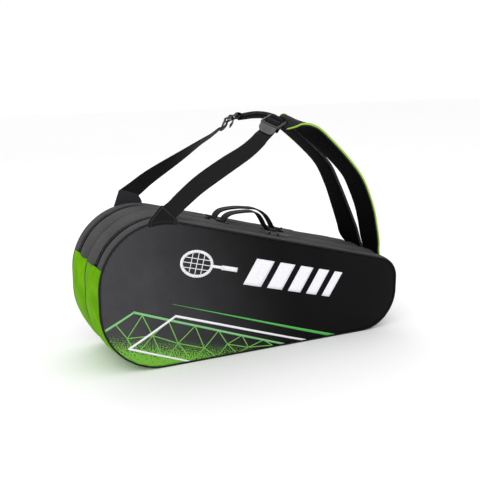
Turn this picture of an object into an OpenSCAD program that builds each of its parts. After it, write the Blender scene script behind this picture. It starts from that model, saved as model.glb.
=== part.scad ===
// Two-compartment racket bag with opening lids, grab handles and padded shoulder straps.
// +X runs from the round head end to the narrow handle end, the front faces -Y and +Z is up.
// The origin is at the middle of the base the bag stands on.

/* [Body] */
// Length from the head end to the handle end
bag_length = 750; // [720:10:800]
// Height of the head end
bag_height = 327; // [320:1:340]
// Depth over both compartments
bag_depth = 210; // [200:10:240]
// Radius of the upper curve at the head end
head_top_r = 141; // [135:1:150]
// Radius of the lower curve at the head end
head_bottom_r = 145; // [135:1:150]
// Radius of the upper curve at the handle end
handle_top_r = 57; // [50:1:65]
// Height of that curve's centre
handle_top_z = 125; // [115:1:135]
// Radius of the lower curve at the handle end
handle_bottom_r = 95; // [85:1:100]

/* [Fabric] */
// Thickness of the padded gusset wall
gusset_wall = 4; // [3:0.5:5]
// Thickness of a panel's outer fabric
panel_fabric = 1.5; // [1:0.5:2]
// Thickness of the foam behind the fabric
panel_foam = 4.5; // [3:0.5:6]
// Thickness of the wall between the compartments
divider_wall = 4; // [3:0.5:6]
// Place along the base where the green wrap ends
wrap_end_x = -170; // [-200:10:-120]

/* [Zips] */
// Distance of the zip's centre from the middle seam
zip_offset = 65; // [60:1:70]
// Width of the zip from tape edge to tape edge
zip_width = 8; // [7:1:10]
// Height of the zip's end at the head end
zip_head_z = 236; // [225:1:245]
// Height of the zip's end at the handle end
zip_handle_z = 112; // [100:1:120]
// Gap between the lid and the fixed side
lid_gap = 0.6; // [0.5:0.1:1]
// Length of a slider's puller
puller_length = 34; // [28:1:40]

/* [Carrying] */
// Width of the shoulder strap webbing
webbing_w = 38; // [36:1:40]
// Width of the shoulder pad
pad_w = 58; // [54:1:60]
// Thickness of the shoulder pad without its mesh
pad_t = 8; // [6:1:9]
// Distance between a grab handle's feet
handle_span = 112; // [100:1:120]
// Height of a grab handle
handle_rise = 32; // [28:1:36]
// Width of a grab handle's webbing
handle_w = 25; // [20:1:25]
// Distance of a grab handle from the middle seam
handle_y = 21; // [20:1:24]

/* [Hidden] */

front_y = -bag_depth / 2;
piping_t = 4;
arc_step = 6;
far = 900;

black = "#1c1c1e";
charcoal = "#3a3a3d";
grey = "#555558";
lime = "#6cab0e";

// The outline's four curves as [x, z, radius], anticlockwise from the lower head end.
corners = [
    [-bag_length / 2 + head_bottom_r, head_bottom_r, head_bottom_r],
    [bag_length / 2 - handle_bottom_r, handle_bottom_r, handle_bottom_r],
    [bag_length / 2 - handle_top_r, handle_top_z, handle_top_r],
    [-bag_length / 2 + head_top_r, bag_height - head_top_r, head_top_r]];

// Direction from the centres to the line that touches two curves.
function touch_angle(a, b) =
    atan2(b[1] - a[1], b[0] - a[0]) - acos((a[2] - b[2]) / norm([b[0] - a[0], b[1] - a[1]]));
function corner(i) = corners[(i + 4) % 4];
function arc_start(i) = touch_angle(corner(i - 1), corner(i));
function arc_sweep(i) = (touch_angle(corner(i), corner(i + 1)) - arc_start(i) + 720) % 360;
function outline(inset) = [for (i = [0:3])
    let (steps = ceil(arc_sweep(i) / arc_step))
    for (k = [0:steps])
    let (a = arc_start(i) + arc_sweep(i) * k / steps, r = corner(i)[2] - inset)
    [corner(i)[0] + r * cos(a), corner(i)[1] + r * sin(a)]];

// The straight run along the top, from the head curve to the handle curve.
top_normal = touch_angle(corner(2), corner(3));
top_tilt = 90 - top_normal;
top_start = [corner(3)[0] + head_top_r * cos(top_normal), corner(3)[1] + head_top_r * sin(top_normal)];
function top_z(x) = top_start[1] - (x - top_start[0]) * tan(top_tilt);

// The lid's fold line across the panel, from one zip end to the other.
fold_slope = (zip_handle_z - zip_head_z) / bag_length;
function fold_z(x) = (zip_head_z + zip_handle_z) / 2 + fold_slope * x;

// A plate in the X-Z plane from y0 to y1.
module plate(y0, y1) {
    translate([0, y1, 0]) rotate([90, 0, 0]) linear_extrude(y1 - y0) children();
}

// A band that follows the outline, between two insets and two places along Y.
module band(outer, inner, y0, y1) {
    plate(y0, y1) difference() {
        polygon(outline(outer));
        polygon(outline(inner));
    }
}

module above_fold(lift) {
    intersection() {
        children();
        plate(-far, far) polygon([[-far, fold_z(-far) + lift], [far, fold_z(far) + lift],
            [far, far], [-far, far]]);
    }
}

module below_fold(drop) {
    intersection() {
        children();
        plate(-far, far) polygon([[-far, fold_z(-far) - drop], [-far, -far],
            [far, -far], [far, fold_z(far) - drop]]);
    }
}

// The rear compartment is the front one seen in a mirror.
module on_side(side) {
    if (side == "front") children(); else mirror([0, 1, 0]) children();
}

// Local frame on the straight top: +X down the slope, +Z out of the gusset.
module on_top(x, y) {
    translate([x, y, top_z(x)]) rotate([0, top_tilt, 0]) children();
}

// ---- body ----

module centre_divider() {
    color(charcoal) plate(-divider_wall / 2, divider_wall / 2) polygon(outline(gusset_wall));
}

// Flat zipped pocket sewn to the divider inside the front compartment.
module inner_pocket() {
    color(black) translate([-150, -divider_wall / 2 - 3, 60]) cube([230, 3, 130]);
}

module gusset(side) {
    color(grey) on_side(side) above_fold(0)
        band(0, gusset_wall, -zip_offset + zip_width / 2, 0);
}

module between_x(x0, x1) {
    intersection() {
        children();
        translate([x0, -far, -far]) cube([x1 - x0, 2 * far, 2 * far]);
    }
}

// Coated fabric round the lower head end, one piece on each side of the middle seam.
module green_wrap(side) {
    color(lime) on_side(side) below_fold(0) between_x(-far, wrap_end_x)
        band(0, gusset_wall, front_y + piping_t, 0);
}

// One piece under both compartments and up the handle end.
module base_gusset() {
    color(charcoal) below_fold(0) between_x(wrap_end_x, far)
        band(0, gusset_wall, front_y + piping_t, -front_y - piping_t);
}

module panel(side, y0, thickness) {
    on_side(side) plate(y0, y0 + thickness) polygon(outline(gusset_wall));
}

module lower_panel(side) {
    color(charcoal) below_fold(lid_gap / 2) panel(side, front_y, panel_fabric);
}

module lower_foam(side) {
    color("white") below_fold(lid_gap / 2) panel(side, front_y + panel_fabric, panel_foam);
}

module lower_piping(side) {
    color(black) on_side(side) below_fold(lid_gap / 2) band(0, gusset_wall, front_y, front_y + piping_t);
}

// One half of the zip: the tape and its row of teeth.
module zip_half(side, inner) {
    edge = inner ? -zip_offset + zip_width / 2 : -zip_offset - zip_width / 2;
    middle = inner ? -zip_offset + lid_gap / 2 : -zip_offset - lid_gap / 2;
    teeth = inner ? middle + 2 : middle - 2;
    color(black) on_side(side) above_fold(inner ? 0 : lid_gap) {
        band(0.5, 2.5, min(edge, middle), max(edge, middle));
        band(-0.8, 0.5, min(teeth, middle), max(teeth, middle));
    }
}

// Fabric tabs that cover the two ends of a zip.
module zip_ends(side) {
    color(black) on_side(side) below_fold(lid_gap) intersection() {
        band(-1.6, 0, -zip_offset - 6, -zip_offset + 6);
        plate(-far, far) polygon([[-far, fold_z(-far) - 16], [far, fold_z(far) - 16],
            [far, far], [-far, far]]);
    }
}

// Webbing sewn flat over the curve of the handle end, where a pad's lower end is held.
module pad_anchor(side) {
    color(black) on_side(side) intersection() {
        band(-2.5, 0, -31 - webbing_w / 2, -31 + webbing_w / 2);
        translate([300, -far, 96]) cube([200, 2 * far, 74]);
    }
}

module handle_patches(side) {
    color(black) on_side(side) for (end = [-1, 1])
        on_top(12, -handle_y) translate([end * (handle_span / 2 + 2) - 11, -14, 0]) cube([22, 28, 1.5]);
}

// ---- lids ----

module lid_panel(side) {
    color(charcoal) above_fold(lid_gap / 2) panel(side, front_y, panel_fabric);
}

module lid_foam(side) {
    color("white") above_fold(lid_gap / 2) panel(side, front_y + panel_fabric, panel_foam);
}

module lid_gusset(side) {
    color(grey) on_side(side) above_fold(lid_gap)
        band(0, gusset_wall, front_y + piping_t, -zip_offset - zip_width / 2);
}

module lid_piping(side) {
    color(black) on_side(side) above_fold(lid_gap / 2) band(0, gusset_wall, front_y, front_y + piping_t);
}

// Folded fabric that holds the end of the webbing, standing on the lid's edge.
module strap_tab(side, shape, shade) {
    color(shade) on_side(side) difference() {
        plate(front_y + 0.5, front_y + piping_t) polygon(shape);
        plate(-far, far) polygon(outline(0));
    }
}

// ---- sliders and pullers ----

bar_r = 1.1;
bar_z = 5.6;
eye_r = 2.6;

module slider(side, x) {
    color("#2b2b2d") on_side(side) on_top(x, -zip_offset) {
        difference() {
            translate([-7, -4.5, 1.2]) cube([14, 9, 1.6]);
            for (edge = [-1, 1]) translate([7, edge * 6, 1.2]) rotate([0, 0, edge * 20])
                translate([-8, -2, -1]) cube([10, 4, 4]);
        }
        for (edge = [-1, 1]) translate([-1.8, edge * 2.7 - 0.7, 2.7]) cube([3.6, 1.4, bar_z - 1.4]);
        translate([0, 0, bar_z]) rotate([90, 0, 0]) cylinder(h = 4.4, r = bar_r, center = true, $fn = 48);
    }
}

module puller(side, x, direction) {
    color("#2b2b2d") on_side(side) on_top(x, -zip_offset) translate([0, 0, bar_z])
        rotate([0, 0, direction > 0 ? 0 : 180]) difference() {
            union() {
                rotate([90, 0, 0]) cylinder(h = 3.4, r = eye_r, center = true, $fn = 48);
                translate([0, -1.7, -0.8]) cube([8, 3.4, 1.6]);
                translate([7, -3.2, -0.8]) cube([puller_length - 10, 6.4, 1.6]);
                translate([puller_length - 3, 0, -0.8]) cylinder(h = 1.6, r = 3.2, $fn = 48);
            }
            rotate([90, 0, 0]) cylinder(h = 6, r = bar_r + 0.35, center = true, $fn = 48);
            translate([puller_length - 3, 0, -2]) cylinder(h = 4, r = 1.4, $fn = 48);
        }
}

front_slider_x = [40, 62];
rear_slider_x = [120, 142];

// ---- grab handles ----

// Height of the arch's middle line, from one foot at s = -1 to the other at s = 1.
function arch(s) = 3.5 + (handle_rise - 5) * pow(1 - pow(abs(s), 2.6), 0.62);
arch_steps = 24;
module handle(side) {
    half = handle_span / 2;
    outer = [for (k = [0:arch_steps]) let (s = -1 + 2 * k / arch_steps) [(half + 1.4) * s, arch(s) + 1.4]];
    inner = [for (k = [0:arch_steps]) let (s = 1 - 2 * k / arch_steps) [(half - 1.4) * s, arch(s) - 1.4]];
    color(black) on_side(side) on_top(12, -handle_y) plate(-handle_w / 2, handle_w / 2)
        polygon(concat(outer, inner));
}

// ---- shoulder straps ----

// Smooth curve through a list of points, with t from 0 to the last index.
function at(list, t) =
    let (n = len(list) - 1, i = min(floor(t), n - 1), u = t - i,
        a = list[max(i - 1, 0)], b = list[i], c = list[i + 1], d = list[min(i + 2, n)])
    0.5 * (2 * b + (c - a) * u + (2 * a - 5 * b + 4 * c - d) * u * u
        + (3 * b - a - 3 * c + d) * u * u * u);
function unit(v) = v / norm(v);

// Four corners of a flat strap at t. The side points to the strap's outer edge, towards the
// front, and the face that cross(along, side) points to is the one against the shoulder.
// Edges are lists of distances along the side, and faces are two distances from the middle.
function ring(route, sides, edges, faces, t) =
    let (last = len(route) - 1,
        along = unit(at(route, min(t + 0.05, last)) - at(route, max(t - 0.05, 0))),
        raw = at(sides, t), side = unit(raw - (raw * along) * along), normal = cross(along, side))
    [for (c = [[0, 0], [1, 0], [1, 1], [0, 1]])
        at(route, t) + side * at(edges[c[0]], t) + normal * faces[c[1]]];

// A flat strap along a route. Straps that lie on each other split their walls alike.
module ribbon(route, sides, edges, faces, rings) {
    last = len(route) - 1;
    points = [for (k = [0:rings]) each ring(route, sides, edges, faces, last * k / rings)];
    walls = [for (k = [0:rings - 1], c = [0:3]) let (a = 4 * k + c, b = 4 * k + (c + 1) % 4)
        each (c < 2 ? [[a, b, b + 4], [a, b + 4, a + 4]] : [[a, b, a + 4], [b, b + 4, a + 4]])];
    polyhedron(points, concat(walls, [[2, 1, 0], [3, 2, 0]],
        [[4 * rings, 4 * rings + 1, 4 * rings + 2], [4 * rings, 4 * rings + 2, 4 * rings + 3]]),
        convexity = 8);
}

front_web_route = [[-206, -103, 350], [-186, -101, 366], [-144, -98, 396], [-83, -94, 430],
    [-34, -90, 455], [0, -87, 478], [16, -85, 494]];
front_web_sides = [[0.58, 0, -0.81], [0.56, -0.05, -0.82], [0.54, -0.2, -0.8], [0.5, -0.5, -0.7],
    [0.48, -0.7, -0.5], [0.45, -0.8, -0.4], [0.42, -0.85, -0.32]];
front_pad_route = [[66, -79, 519], [102, -75, 520], [138, -73, 502], [172, -72, 474], [222, -68, 426],
    [262, -62, 382], [288, -56, 342], [312, -49, 295], [328, -42, 252], [340, -36, 214]];
front_pad_sides = [[0.4, -0.87, -0.28], [0.15, -0.96, -0.15], [0.1, -1, -0.05], [0.15, -0.99, 0],
    [0.2, -0.98, 0], [0.25, -0.97, 0], [0.25, -0.97, 0], [0.22, -0.97, 0], [0.2, -0.98, 0],
    [0.18, -0.98, 0]];
rear_web_route = [[-222, 103, 358], [-183, 102, 385], [-110, 98, 427], [-60, 95, 457],
    [-27, 93, 475], [-8, 91, 492]];
rear_web_sides = [[0.62, 0, -0.78], [0.55, 0.25, -0.75], [0.45, 0.6, -0.6], [0.3, 0.8, -0.45],
    [0.35, 0.85, -0.35], [0.4, 0.87, -0.3]];
rear_pad_route = [[44, 88, 514], [80, 86, 519], [116, 82, 512], [160, 78, 485], [215, 74, 440],
    [262, 68, 392], [288, 60, 338], [305, 51, 288], [320, 42, 240], [328, 37, 212]];
rear_pad_sides = [[-0.4, -0.87, 0.28], [-0.35, -0.9, 0.25], [-0.15, -0.97, 0.15], [0, -1, 0.05],
    [0.05, -1, 0.05], [0.1, -1, 0.05], [0.12, -1, 0], [0.2, -0.98, 0], [0.3, -0.95, 0], [0.35, -0.93, 0]];
// The pads start narrow at the buckle; the rear one widens later.
neck_w = 34;
front_pad_widths = [for (k = [0:len(front_pad_route) - 1]) k == 0 ? neck_w : pad_w];
rear_pad_widths = [for (k = [0:len(rear_pad_route) - 1])
    k == 0 ? neck_w : k == 1 ? (neck_w + pad_w) / 2 : pad_w];

mesh_t = 2;
layer_gap = 0.3;
trim_w = 3;
pad_rings = 40;

module webbing(route, sides) {
    half = [for (p = route) webbing_w / 2];
    color(black) ribbon(route, sides, [-half, half], [-1, 1], 24);
}

module pad(route, sides, widths) {
    color(charcoal) ribbon(route, sides, [-widths / 2, widths / 2], [-pad_t / 2, pad_t / 2], pad_rings);
}

module pad_mesh(route, sides, widths) {
    low = pad_t / 2 + layer_gap;
    color(black) ribbon(route, sides, [-widths / 2, widths / 2], [low, low + mesh_t], pad_rings);
}

// Binding along the edge that faces away from the other pad.
module pad_trim(route, sides, widths, edge) {
    near = [for (w = widths) edge * (w / 2 + layer_gap)];
    away = [for (w = widths) edge * (w / 2 + layer_gap + trim_w)];
    color(lime) ribbon(route, sides, edge > 0 ? [near, away] : [away, near],
        [-pad_t / 2, pad_t / 2 + layer_gap + mesh_t], pad_rings);
}

// Ladder-lock buckle: a frame with three bars and a thumb tab, at its own centre.
buckle_l = 30;
buckle_w = 48;
module buckle(place, turn) {
    color("#27272a") translate(place) rotate(turn) {
        for (edge = [-1, 1]) translate([-buckle_l / 2, edge * (buckle_w / 2 - 2) - 2, -2.5])
            cube([buckle_l, 4, 5]);
        for (bar = [-11, 0, 13]) translate([bar, 0, 0]) rotate([90, 0, 0])
            cylinder(h = buckle_w - 6, r = 2, center = true, $fn = 48);
        translate([-buckle_l / 2 - 1, -buckle_w / 2 + 1, -1.2]) rotate([0, -18, 0])
            translate([-13, 0, -1.2]) cube([16, buckle_w - 2, 2.4]);
    }
}

front_tab_shape = [[-262, 310], [-200, 310], [-199, 329], [-232, 361], [-263, 326]];
rear_tab_shape = [[-272, 306], [-204, 310], [-205, 331], [-214, 346], [-258, 361], [-273, 320]];

centre_divider();
inner_pocket();
gusset("front");  // front_gusset
gusset("rear");  // rear_gusset
green_wrap("front");  // front_green_wrap
green_wrap("rear");  // rear_green_wrap
base_gusset();
lower_panel("front");  // front_lower_panel
lower_panel("rear");  // rear_lower_panel
lower_foam("front");  // front_lower_foam
lower_foam("rear");  // rear_lower_foam
lower_piping("front");  // front_lower_piping
lower_piping("rear");  // rear_lower_piping
zip_half("front", true);  // front_zip_inner
zip_half("rear", true);  // rear_zip_inner
zip_ends("front");  // front_zip_ends
zip_ends("rear");  // rear_zip_ends
pad_anchor("front");  // front_pad_anchor
pad_anchor("rear");  // rear_pad_anchor
handle_patches("front");  // front_handle_patches
handle_patches("rear");  // rear_handle_patches
lid_panel("front");  // front_lid_panel
lid_panel("rear");  // rear_lid_panel
lid_foam("front");  // front_lid_foam
lid_foam("rear");  // rear_lid_foam
lid_gusset("front");  // front_lid_gusset
lid_gusset("rear");  // rear_lid_gusset
lid_piping("front");  // front_lid_piping
lid_piping("rear");  // rear_lid_piping
zip_half("front", false);  // front_zip_outer
zip_half("rear", false);  // rear_zip_outer
strap_tab("front", front_tab_shape, black);  // front_strap_tab
strap_tab("rear", rear_tab_shape, grey);  // rear_strap_tab
slider("front", front_slider_x[0]);  // front_slider_head
slider("front", front_slider_x[1]);  // front_slider_handle
slider("rear", rear_slider_x[0]);  // rear_slider_head
slider("rear", rear_slider_x[1]);  // rear_slider_handle
puller("front", front_slider_x[0], -1);  // front_puller_head
puller("front", front_slider_x[1], 1);  // front_puller_handle
puller("rear", rear_slider_x[0], -1);  // rear_puller_head
puller("rear", rear_slider_x[1], 1);  // rear_puller_handle
handle("front");  // front_handle
handle("rear");  // rear_handle
webbing(front_web_route, front_web_sides);  // front_webbing
webbing(rear_web_route, rear_web_sides);  // rear_webbing
pad(front_pad_route, front_pad_sides, front_pad_widths);  // front_pad
pad(rear_pad_route, rear_pad_sides, rear_pad_widths);  // rear_pad
pad_mesh(front_pad_route, front_pad_sides, front_pad_widths);  // front_pad_mesh
pad_mesh(rear_pad_route, rear_pad_sides, rear_pad_widths);  // rear_pad_mesh
pad_trim(front_pad_route, front_pad_sides, front_pad_widths, 1);  // front_pad_trim
pad_trim(rear_pad_route, rear_pad_sides, rear_pad_widths, -1);  // rear_pad_trim
buckle([40, -81, 517], [16, -7, 22]);  // front_buckle
buckle([17, 88, 511], [-16, -7, -22]);  // rear_buckle
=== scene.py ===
import math

import bmesh
import bpy
from mathutils import Matrix, Vector, kdtree, noise
from mathutils.bvhtree import BVHTree
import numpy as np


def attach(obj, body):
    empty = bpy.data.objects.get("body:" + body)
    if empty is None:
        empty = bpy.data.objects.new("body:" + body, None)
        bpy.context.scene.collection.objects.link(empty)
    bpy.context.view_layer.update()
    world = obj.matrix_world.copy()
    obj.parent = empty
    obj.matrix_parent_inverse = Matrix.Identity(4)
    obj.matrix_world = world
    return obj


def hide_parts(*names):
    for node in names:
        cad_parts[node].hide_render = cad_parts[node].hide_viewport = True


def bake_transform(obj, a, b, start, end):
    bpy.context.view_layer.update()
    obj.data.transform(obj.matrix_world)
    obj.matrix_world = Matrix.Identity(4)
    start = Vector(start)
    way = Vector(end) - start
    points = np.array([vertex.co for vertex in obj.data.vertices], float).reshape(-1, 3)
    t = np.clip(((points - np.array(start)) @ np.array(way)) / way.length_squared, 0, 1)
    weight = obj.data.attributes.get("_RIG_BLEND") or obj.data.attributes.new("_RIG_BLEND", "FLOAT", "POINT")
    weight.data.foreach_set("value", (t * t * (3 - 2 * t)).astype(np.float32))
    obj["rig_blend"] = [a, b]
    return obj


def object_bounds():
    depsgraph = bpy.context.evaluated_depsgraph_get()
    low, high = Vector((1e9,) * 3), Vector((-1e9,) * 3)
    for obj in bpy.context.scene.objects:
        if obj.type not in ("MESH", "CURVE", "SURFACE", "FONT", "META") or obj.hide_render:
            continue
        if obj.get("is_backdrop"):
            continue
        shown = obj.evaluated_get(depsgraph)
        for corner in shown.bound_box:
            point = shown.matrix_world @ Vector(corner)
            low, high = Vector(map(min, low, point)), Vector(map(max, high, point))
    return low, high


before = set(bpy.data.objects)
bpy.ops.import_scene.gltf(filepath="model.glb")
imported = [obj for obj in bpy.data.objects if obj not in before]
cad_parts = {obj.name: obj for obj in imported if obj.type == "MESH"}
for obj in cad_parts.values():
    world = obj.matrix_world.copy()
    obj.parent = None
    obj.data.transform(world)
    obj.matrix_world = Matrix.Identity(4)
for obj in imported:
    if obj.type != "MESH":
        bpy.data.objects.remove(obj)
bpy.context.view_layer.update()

# ---- Studio ----
# A pale matt floor, an even white surround and three soft lamps, as for a catalogue.
# The camera stands to the left of the bag's front and a little above it.
scene = bpy.context.scene
scene.view_settings.view_transform = "Standard"


def linear(code):
    """An sRGB hex colour as linear RGBA."""
    parts = [int(code[i:i + 2], 16) / 255 for i in (1, 3, 5)]
    return (*[p / 12.92 if p <= 0.04045 else ((p + 0.055) / 1.055) ** 2.4 for p in parts], 1.0)


def add_node(tree, kind, inputs=(), **settings):
    """Adds a node; each of its inputs takes a value or another node's socket."""
    made = tree.nodes.new("ShaderNode" + kind)
    for key, value in settings.items():
        setattr(made, key, value)
    for key, value in dict(inputs).items():
        if isinstance(value, bpy.types.NodeSocket):
            tree.links.new(value, made.inputs[key])
        else:
            made.inputs[key].default_value = value
    return made


def new_finish(name, roughness, **sockets):
    """An empty material with its shader wired to the output."""
    finish = bpy.data.materials.new(name)
    finish.use_nodes = True
    finish.node_tree.nodes.clear()
    skin = add_node(finish.node_tree, "BsdfPrincipled", {"Roughness": roughness})
    for key, value in sockets.items():
        skin.inputs[key.replace("_", " ")].default_value = value
    add_node(finish.node_tree, "OutputMaterial", {"Surface": skin.outputs["BSDF"]})
    return finish, finish.node_tree, skin


def make_piece(bm, name, *finishes, sharp=40, recalc=True):
    """A finished, smooth-shaded object at the origin."""
    if recalc:
        bmesh.ops.remove_doubles(bm, verts=bm.verts[:], dist=0.00002)
        bmesh.ops.recalc_face_normals(bm, faces=bm.faces[:])
    mesh = bpy.data.meshes.new(name)
    bm.to_mesh(mesh)
    bm.free()
    mesh.shade_smooth()
    mesh.set_sharp_from_angle(angle=math.radians(sharp))
    for finish in finishes:
        mesh.materials.append(finish)
    piece = bpy.data.objects.new(name, mesh)
    scene.collection.objects.link(piece)
    return piece


# Backdrop paper: an almost even white that takes a soft shadow and has no shine.
floor_finish, tree, skin = new_finish("matt_backdrop_paper", 0.9)
grain = add_node(tree, "TexNoise", {"Scale": 3.0})
tint = add_node(tree, "Mix", {
    0: grain.outputs[0], 6: linear("#f6f6f6"), 7: linear("#fbfbfb")}, data_type="RGBA")
tree.links.new(tint.outputs[2], skin.inputs["Base Color"])
bm = bmesh.new()
bmesh.ops.create_grid(bm, x_segments=2, y_segments=2, size=6)
make_piece(bm, "floor", floor_finish)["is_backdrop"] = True

world = bpy.data.worlds.new("white_surround")
world.use_nodes = True
scene.world = world
world.node_tree.nodes["Background"].inputs["Color"].default_value = (1, 1, 1, 1)
world.node_tree.nodes["Background"].inputs["Strength"].default_value = 1.03

# Each lamp's place, its side in metres and its power in watts.
LAMPS = {
    "key": ((-1.5, -1.7, 1.9), 1.5, 15),
    "fill": ((1.6, -1.9, 1.3), 1.8, 4),
    "back": ((0.3, 1.7, 1.7), 1.6, 8),
}
for name, (place, size, power) in LAMPS.items():
    data = bpy.data.lights.new(name, "AREA")
    data.size = size
    data.energy = power
    lamp = bpy.data.objects.new(name, data)
    scene.collection.objects.link(lamp)
    lamp.location = place
    lamp.rotation_euler = (Vector((0, 0, 0.2)) - lamp.location).to_track_quat("-Z", "Y").to_euler()

camera_data = bpy.data.cameras.new("camera")
camera_data.lens = 60
camera_data.sensor_width = 36
camera = bpy.data.objects.new("camera", camera_data)
scene.collection.objects.link(camera)
camera.location = (-0.7974, -1.631, 0.6925)
camera.rotation_euler = (math.radians(75.9), 0, math.radians(-26))
scene.camera = camera


# ---- Gusset over the top ----
# Heathered grey polyester laminated to thin foam, cut as two long strips that meet at the
# middle seam. It is sewn to the zips, so its edges pull in and the cloth between them swells.
# The outline's four round corners as (x, z, radius), anticlockwise from the lower head end.
CORNERS = (
    (-0.230, 0.145, 0.145), (0.280, 0.095, 0.095), (0.318, 0.125, 0.057), (-0.234, 0.186, 0.141))
# The soft fold below which the bag's body doesn't open, and where the lime wrap ends.
FOLD_POINT = Vector((0, 0, 0.174))
FOLD_UP = Vector((0.16533, 0, 1)).normalized()
WRAP_END = -0.170
SIDES = (("front", -1), ("rear", 1))


def touch_angle(a, b):
    """Direction from two curves' centres to the line that touches both."""
    run, rise = b[0] - a[0], b[1] - a[1]
    return math.atan2(rise, run) - math.acos((a[2] - b[2]) / math.hypot(run, rise))


ARCS = []
for i, corner in enumerate(CORNERS):
    start = touch_angle(CORNERS[i - 1], corner)
    ARCS.append((*corner, start, (touch_angle(corner, CORNERS[(i + 1) % 4]) - start) % math.tau))


def ray(angle):
    return Vector((math.cos(angle), 0, math.sin(angle)))


def outline_walk(step):
    """Points round the bag's outline, anticlockwise: (distance, point, outward direction)."""
    walk, done = [], 0.0
    for i, (x, z, r, start, sweep) in enumerate(ARCS):
        centre = Vector((x, 0, z))
        count = math.ceil(sweep * r / step)
        for k in range(count):
            out = ray(start + sweep * k / count)
            walk.append((done + sweep * r * k / count, centre + out * r, out))
        done += sweep * r
        out = ray(start + sweep)
        x2, z2, r2 = ARCS[(i + 1) % 4][:3]
        first, last = centre + out * r, Vector((x2, 0, z2)) + out * r2
        length = (last - first).length
        count = math.ceil(length / step)
        for k in range(count):
            walk.append((done + length * k / count, first.lerp(last, k / count), out))
        done += length
    return walk, done


WALK, GIRTH = outline_walk(0.002)
nearest = kdtree.KDTree(len(WALK))
for i, (_, point, _) in enumerate(WALK):
    nearest.insert(point, i)
nearest.balance()


def on_outline(co):
    """Distance round the outline, outward direction, and depth inside it, for a point."""
    flat = Vector((co.x, 0, co.z))
    done, point, out = WALK[nearest.find(flat)[1]]
    ahead = Vector((-out.z, 0, out.x))
    return done + (flat - point).dot(ahead), out, (point - flat).dot(out)


def at_distance(done):
    """Point and outward direction at a distance round the outline."""
    i = round(done % GIRTH / GIRTH * len(WALK)) % len(WALK)
    while WALK[i][0] > done % GIRTH:
        i -= 1
    while i + 1 < len(WALK) and WALK[i + 1][0] <= done % GIRTH:
        i += 1
    start, point, out = WALK[i]
    return point + Vector((-out.z, 0, out.x)) * (done % GIRTH - start), out


def grow(bm, edges):
    """Extrudes a row of edges and gives the new row's edges and points."""
    made = bmesh.ops.extrude_edge_only(bm, edges=edges)["geom"]
    row = [e for e in made if isinstance(e, bmesh.types.BMEdge)]
    return row, [v for v in made if isinstance(v, bmesh.types.BMVert)]


def sweep_outline(bm, section, closed, step=0.007):
    """Carries a section of (y, height) points once round the outline."""
    x, z, r, start, _ = ARCS[0]
    out, foot = ray(start), Vector((x, 0, z)) + ray(start) * r
    verts = [bm.verts.new(foot + out * h + Vector((0, y, 0))) for y, h in section]
    edges = [bm.edges.new(verts[i:i + 2]) for i in range(len(verts) - 1)]
    if closed:
        edges.append(bm.edges.new((verts[-1], verts[0])))
    for i, (x, z, r, start, sweep) in enumerate(ARCS):
        count = math.ceil(sweep * r / step)
        turn = Matrix.Rotation(-sweep / count, 3, "Y")
        for _ in range(count):
            edges, moved = grow(bm, edges)
            bmesh.ops.rotate(bm, verts=moved, cent=(x, 0, z), matrix=turn)
        out = ray(start + sweep)
        x2, z2, r2 = ARCS[(i + 1) % 4][:3]
        run = Vector((x2 - x, 0, z2 - z)) + out * (r2 - r)
        count = math.ceil(run.length / step)
        for _ in range(count):
            edges, moved = grow(bm, edges)
            bmesh.ops.translate(bm, verts=moved, vec=run / count)
    bmesh.ops.remove_doubles(bm, verts=bm.verts[:], dist=0.0002)


def cut(bm, point, out):
    """Takes away what lies beyond a plane."""
    bmesh.ops.bisect_plane(
        bm, geom=bm.verts[:] + bm.edges[:] + bm.faces[:], dist=1e-6,
        plane_co=point, plane_no=out, clear_outer=True)


def close_ends(bm):
    open_edges = [e for e in bm.edges if e.is_boundary]
    if open_edges:
        bmesh.ops.holes_fill(bm, edges=open_edges, sides=0)


def puffed(y_from, y_to, rise, count, sink=-0.0006):
    """A section that swells between two sewn edges."""
    spread = [k / count for k in range(count + 1)]
    return [(y_from + (y_to - y_from) * t, sink + rise * (1 - abs(2 * t - 1) ** 2.6)) for t in spread]


def rumple(bm, size, along, across, seed, edges, reach=0.010):
    """Soft wrinkles that die out at the sewn edges."""
    for v in bm.verts:
        done, out, _ = on_outline(v.co)
        hold = min(1.0, min(abs(v.co.y - y) for y in edges) / reach)
        wave = noise.noise(Vector((done / along, v.co.y / across, seed)))
        v.co += out * wave * size * hold
        v.co.z = max(v.co.z, 0.0006)


def face_out(bm):
    """Turns an open strip's faces away from the bag."""
    bmesh.ops.recalc_face_normals(bm, faces=bm.faces[:])
    turned = sum(f.normal.dot(on_outline(f.calc_center_median())[1]) for f in bm.faces)
    if turned < 0:
        bmesh.ops.reverse_faces(bm, faces=bm.faces[:])


def cloth_map(bm, place):
    """The piece's own cloth coordinates, in metres as the cloth was cut."""
    layer = bm.loops.layers.uv.new("cloth")
    for face in bm.faces:
        for loop in face.loops:
            loop[layer].uv = place(loop.vert.co)


def strip_map(bm, middle):
    """Cloth coordinates of a strip round the outline; middle is a point halfway along it."""
    halfway = on_outline(Vector(middle))[0]

    def place(co):
        done = on_outline(co)[0]
        return (done - halfway + GIRTH / 2) % GIRTH + halfway - GIRTH / 2, co.y
    cloth_map(bm, place)


def thicken(piece, thickness, lined=True):
    """Gives cloth its thickness, inwards, with the lining as its second finish."""
    wall = piece.modifiers.new("thickness", "SOLIDIFY")
    wall.thickness = thickness
    wall.offset = -1
    wall.material_offset = 1 if lined else 0
    return piece


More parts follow.
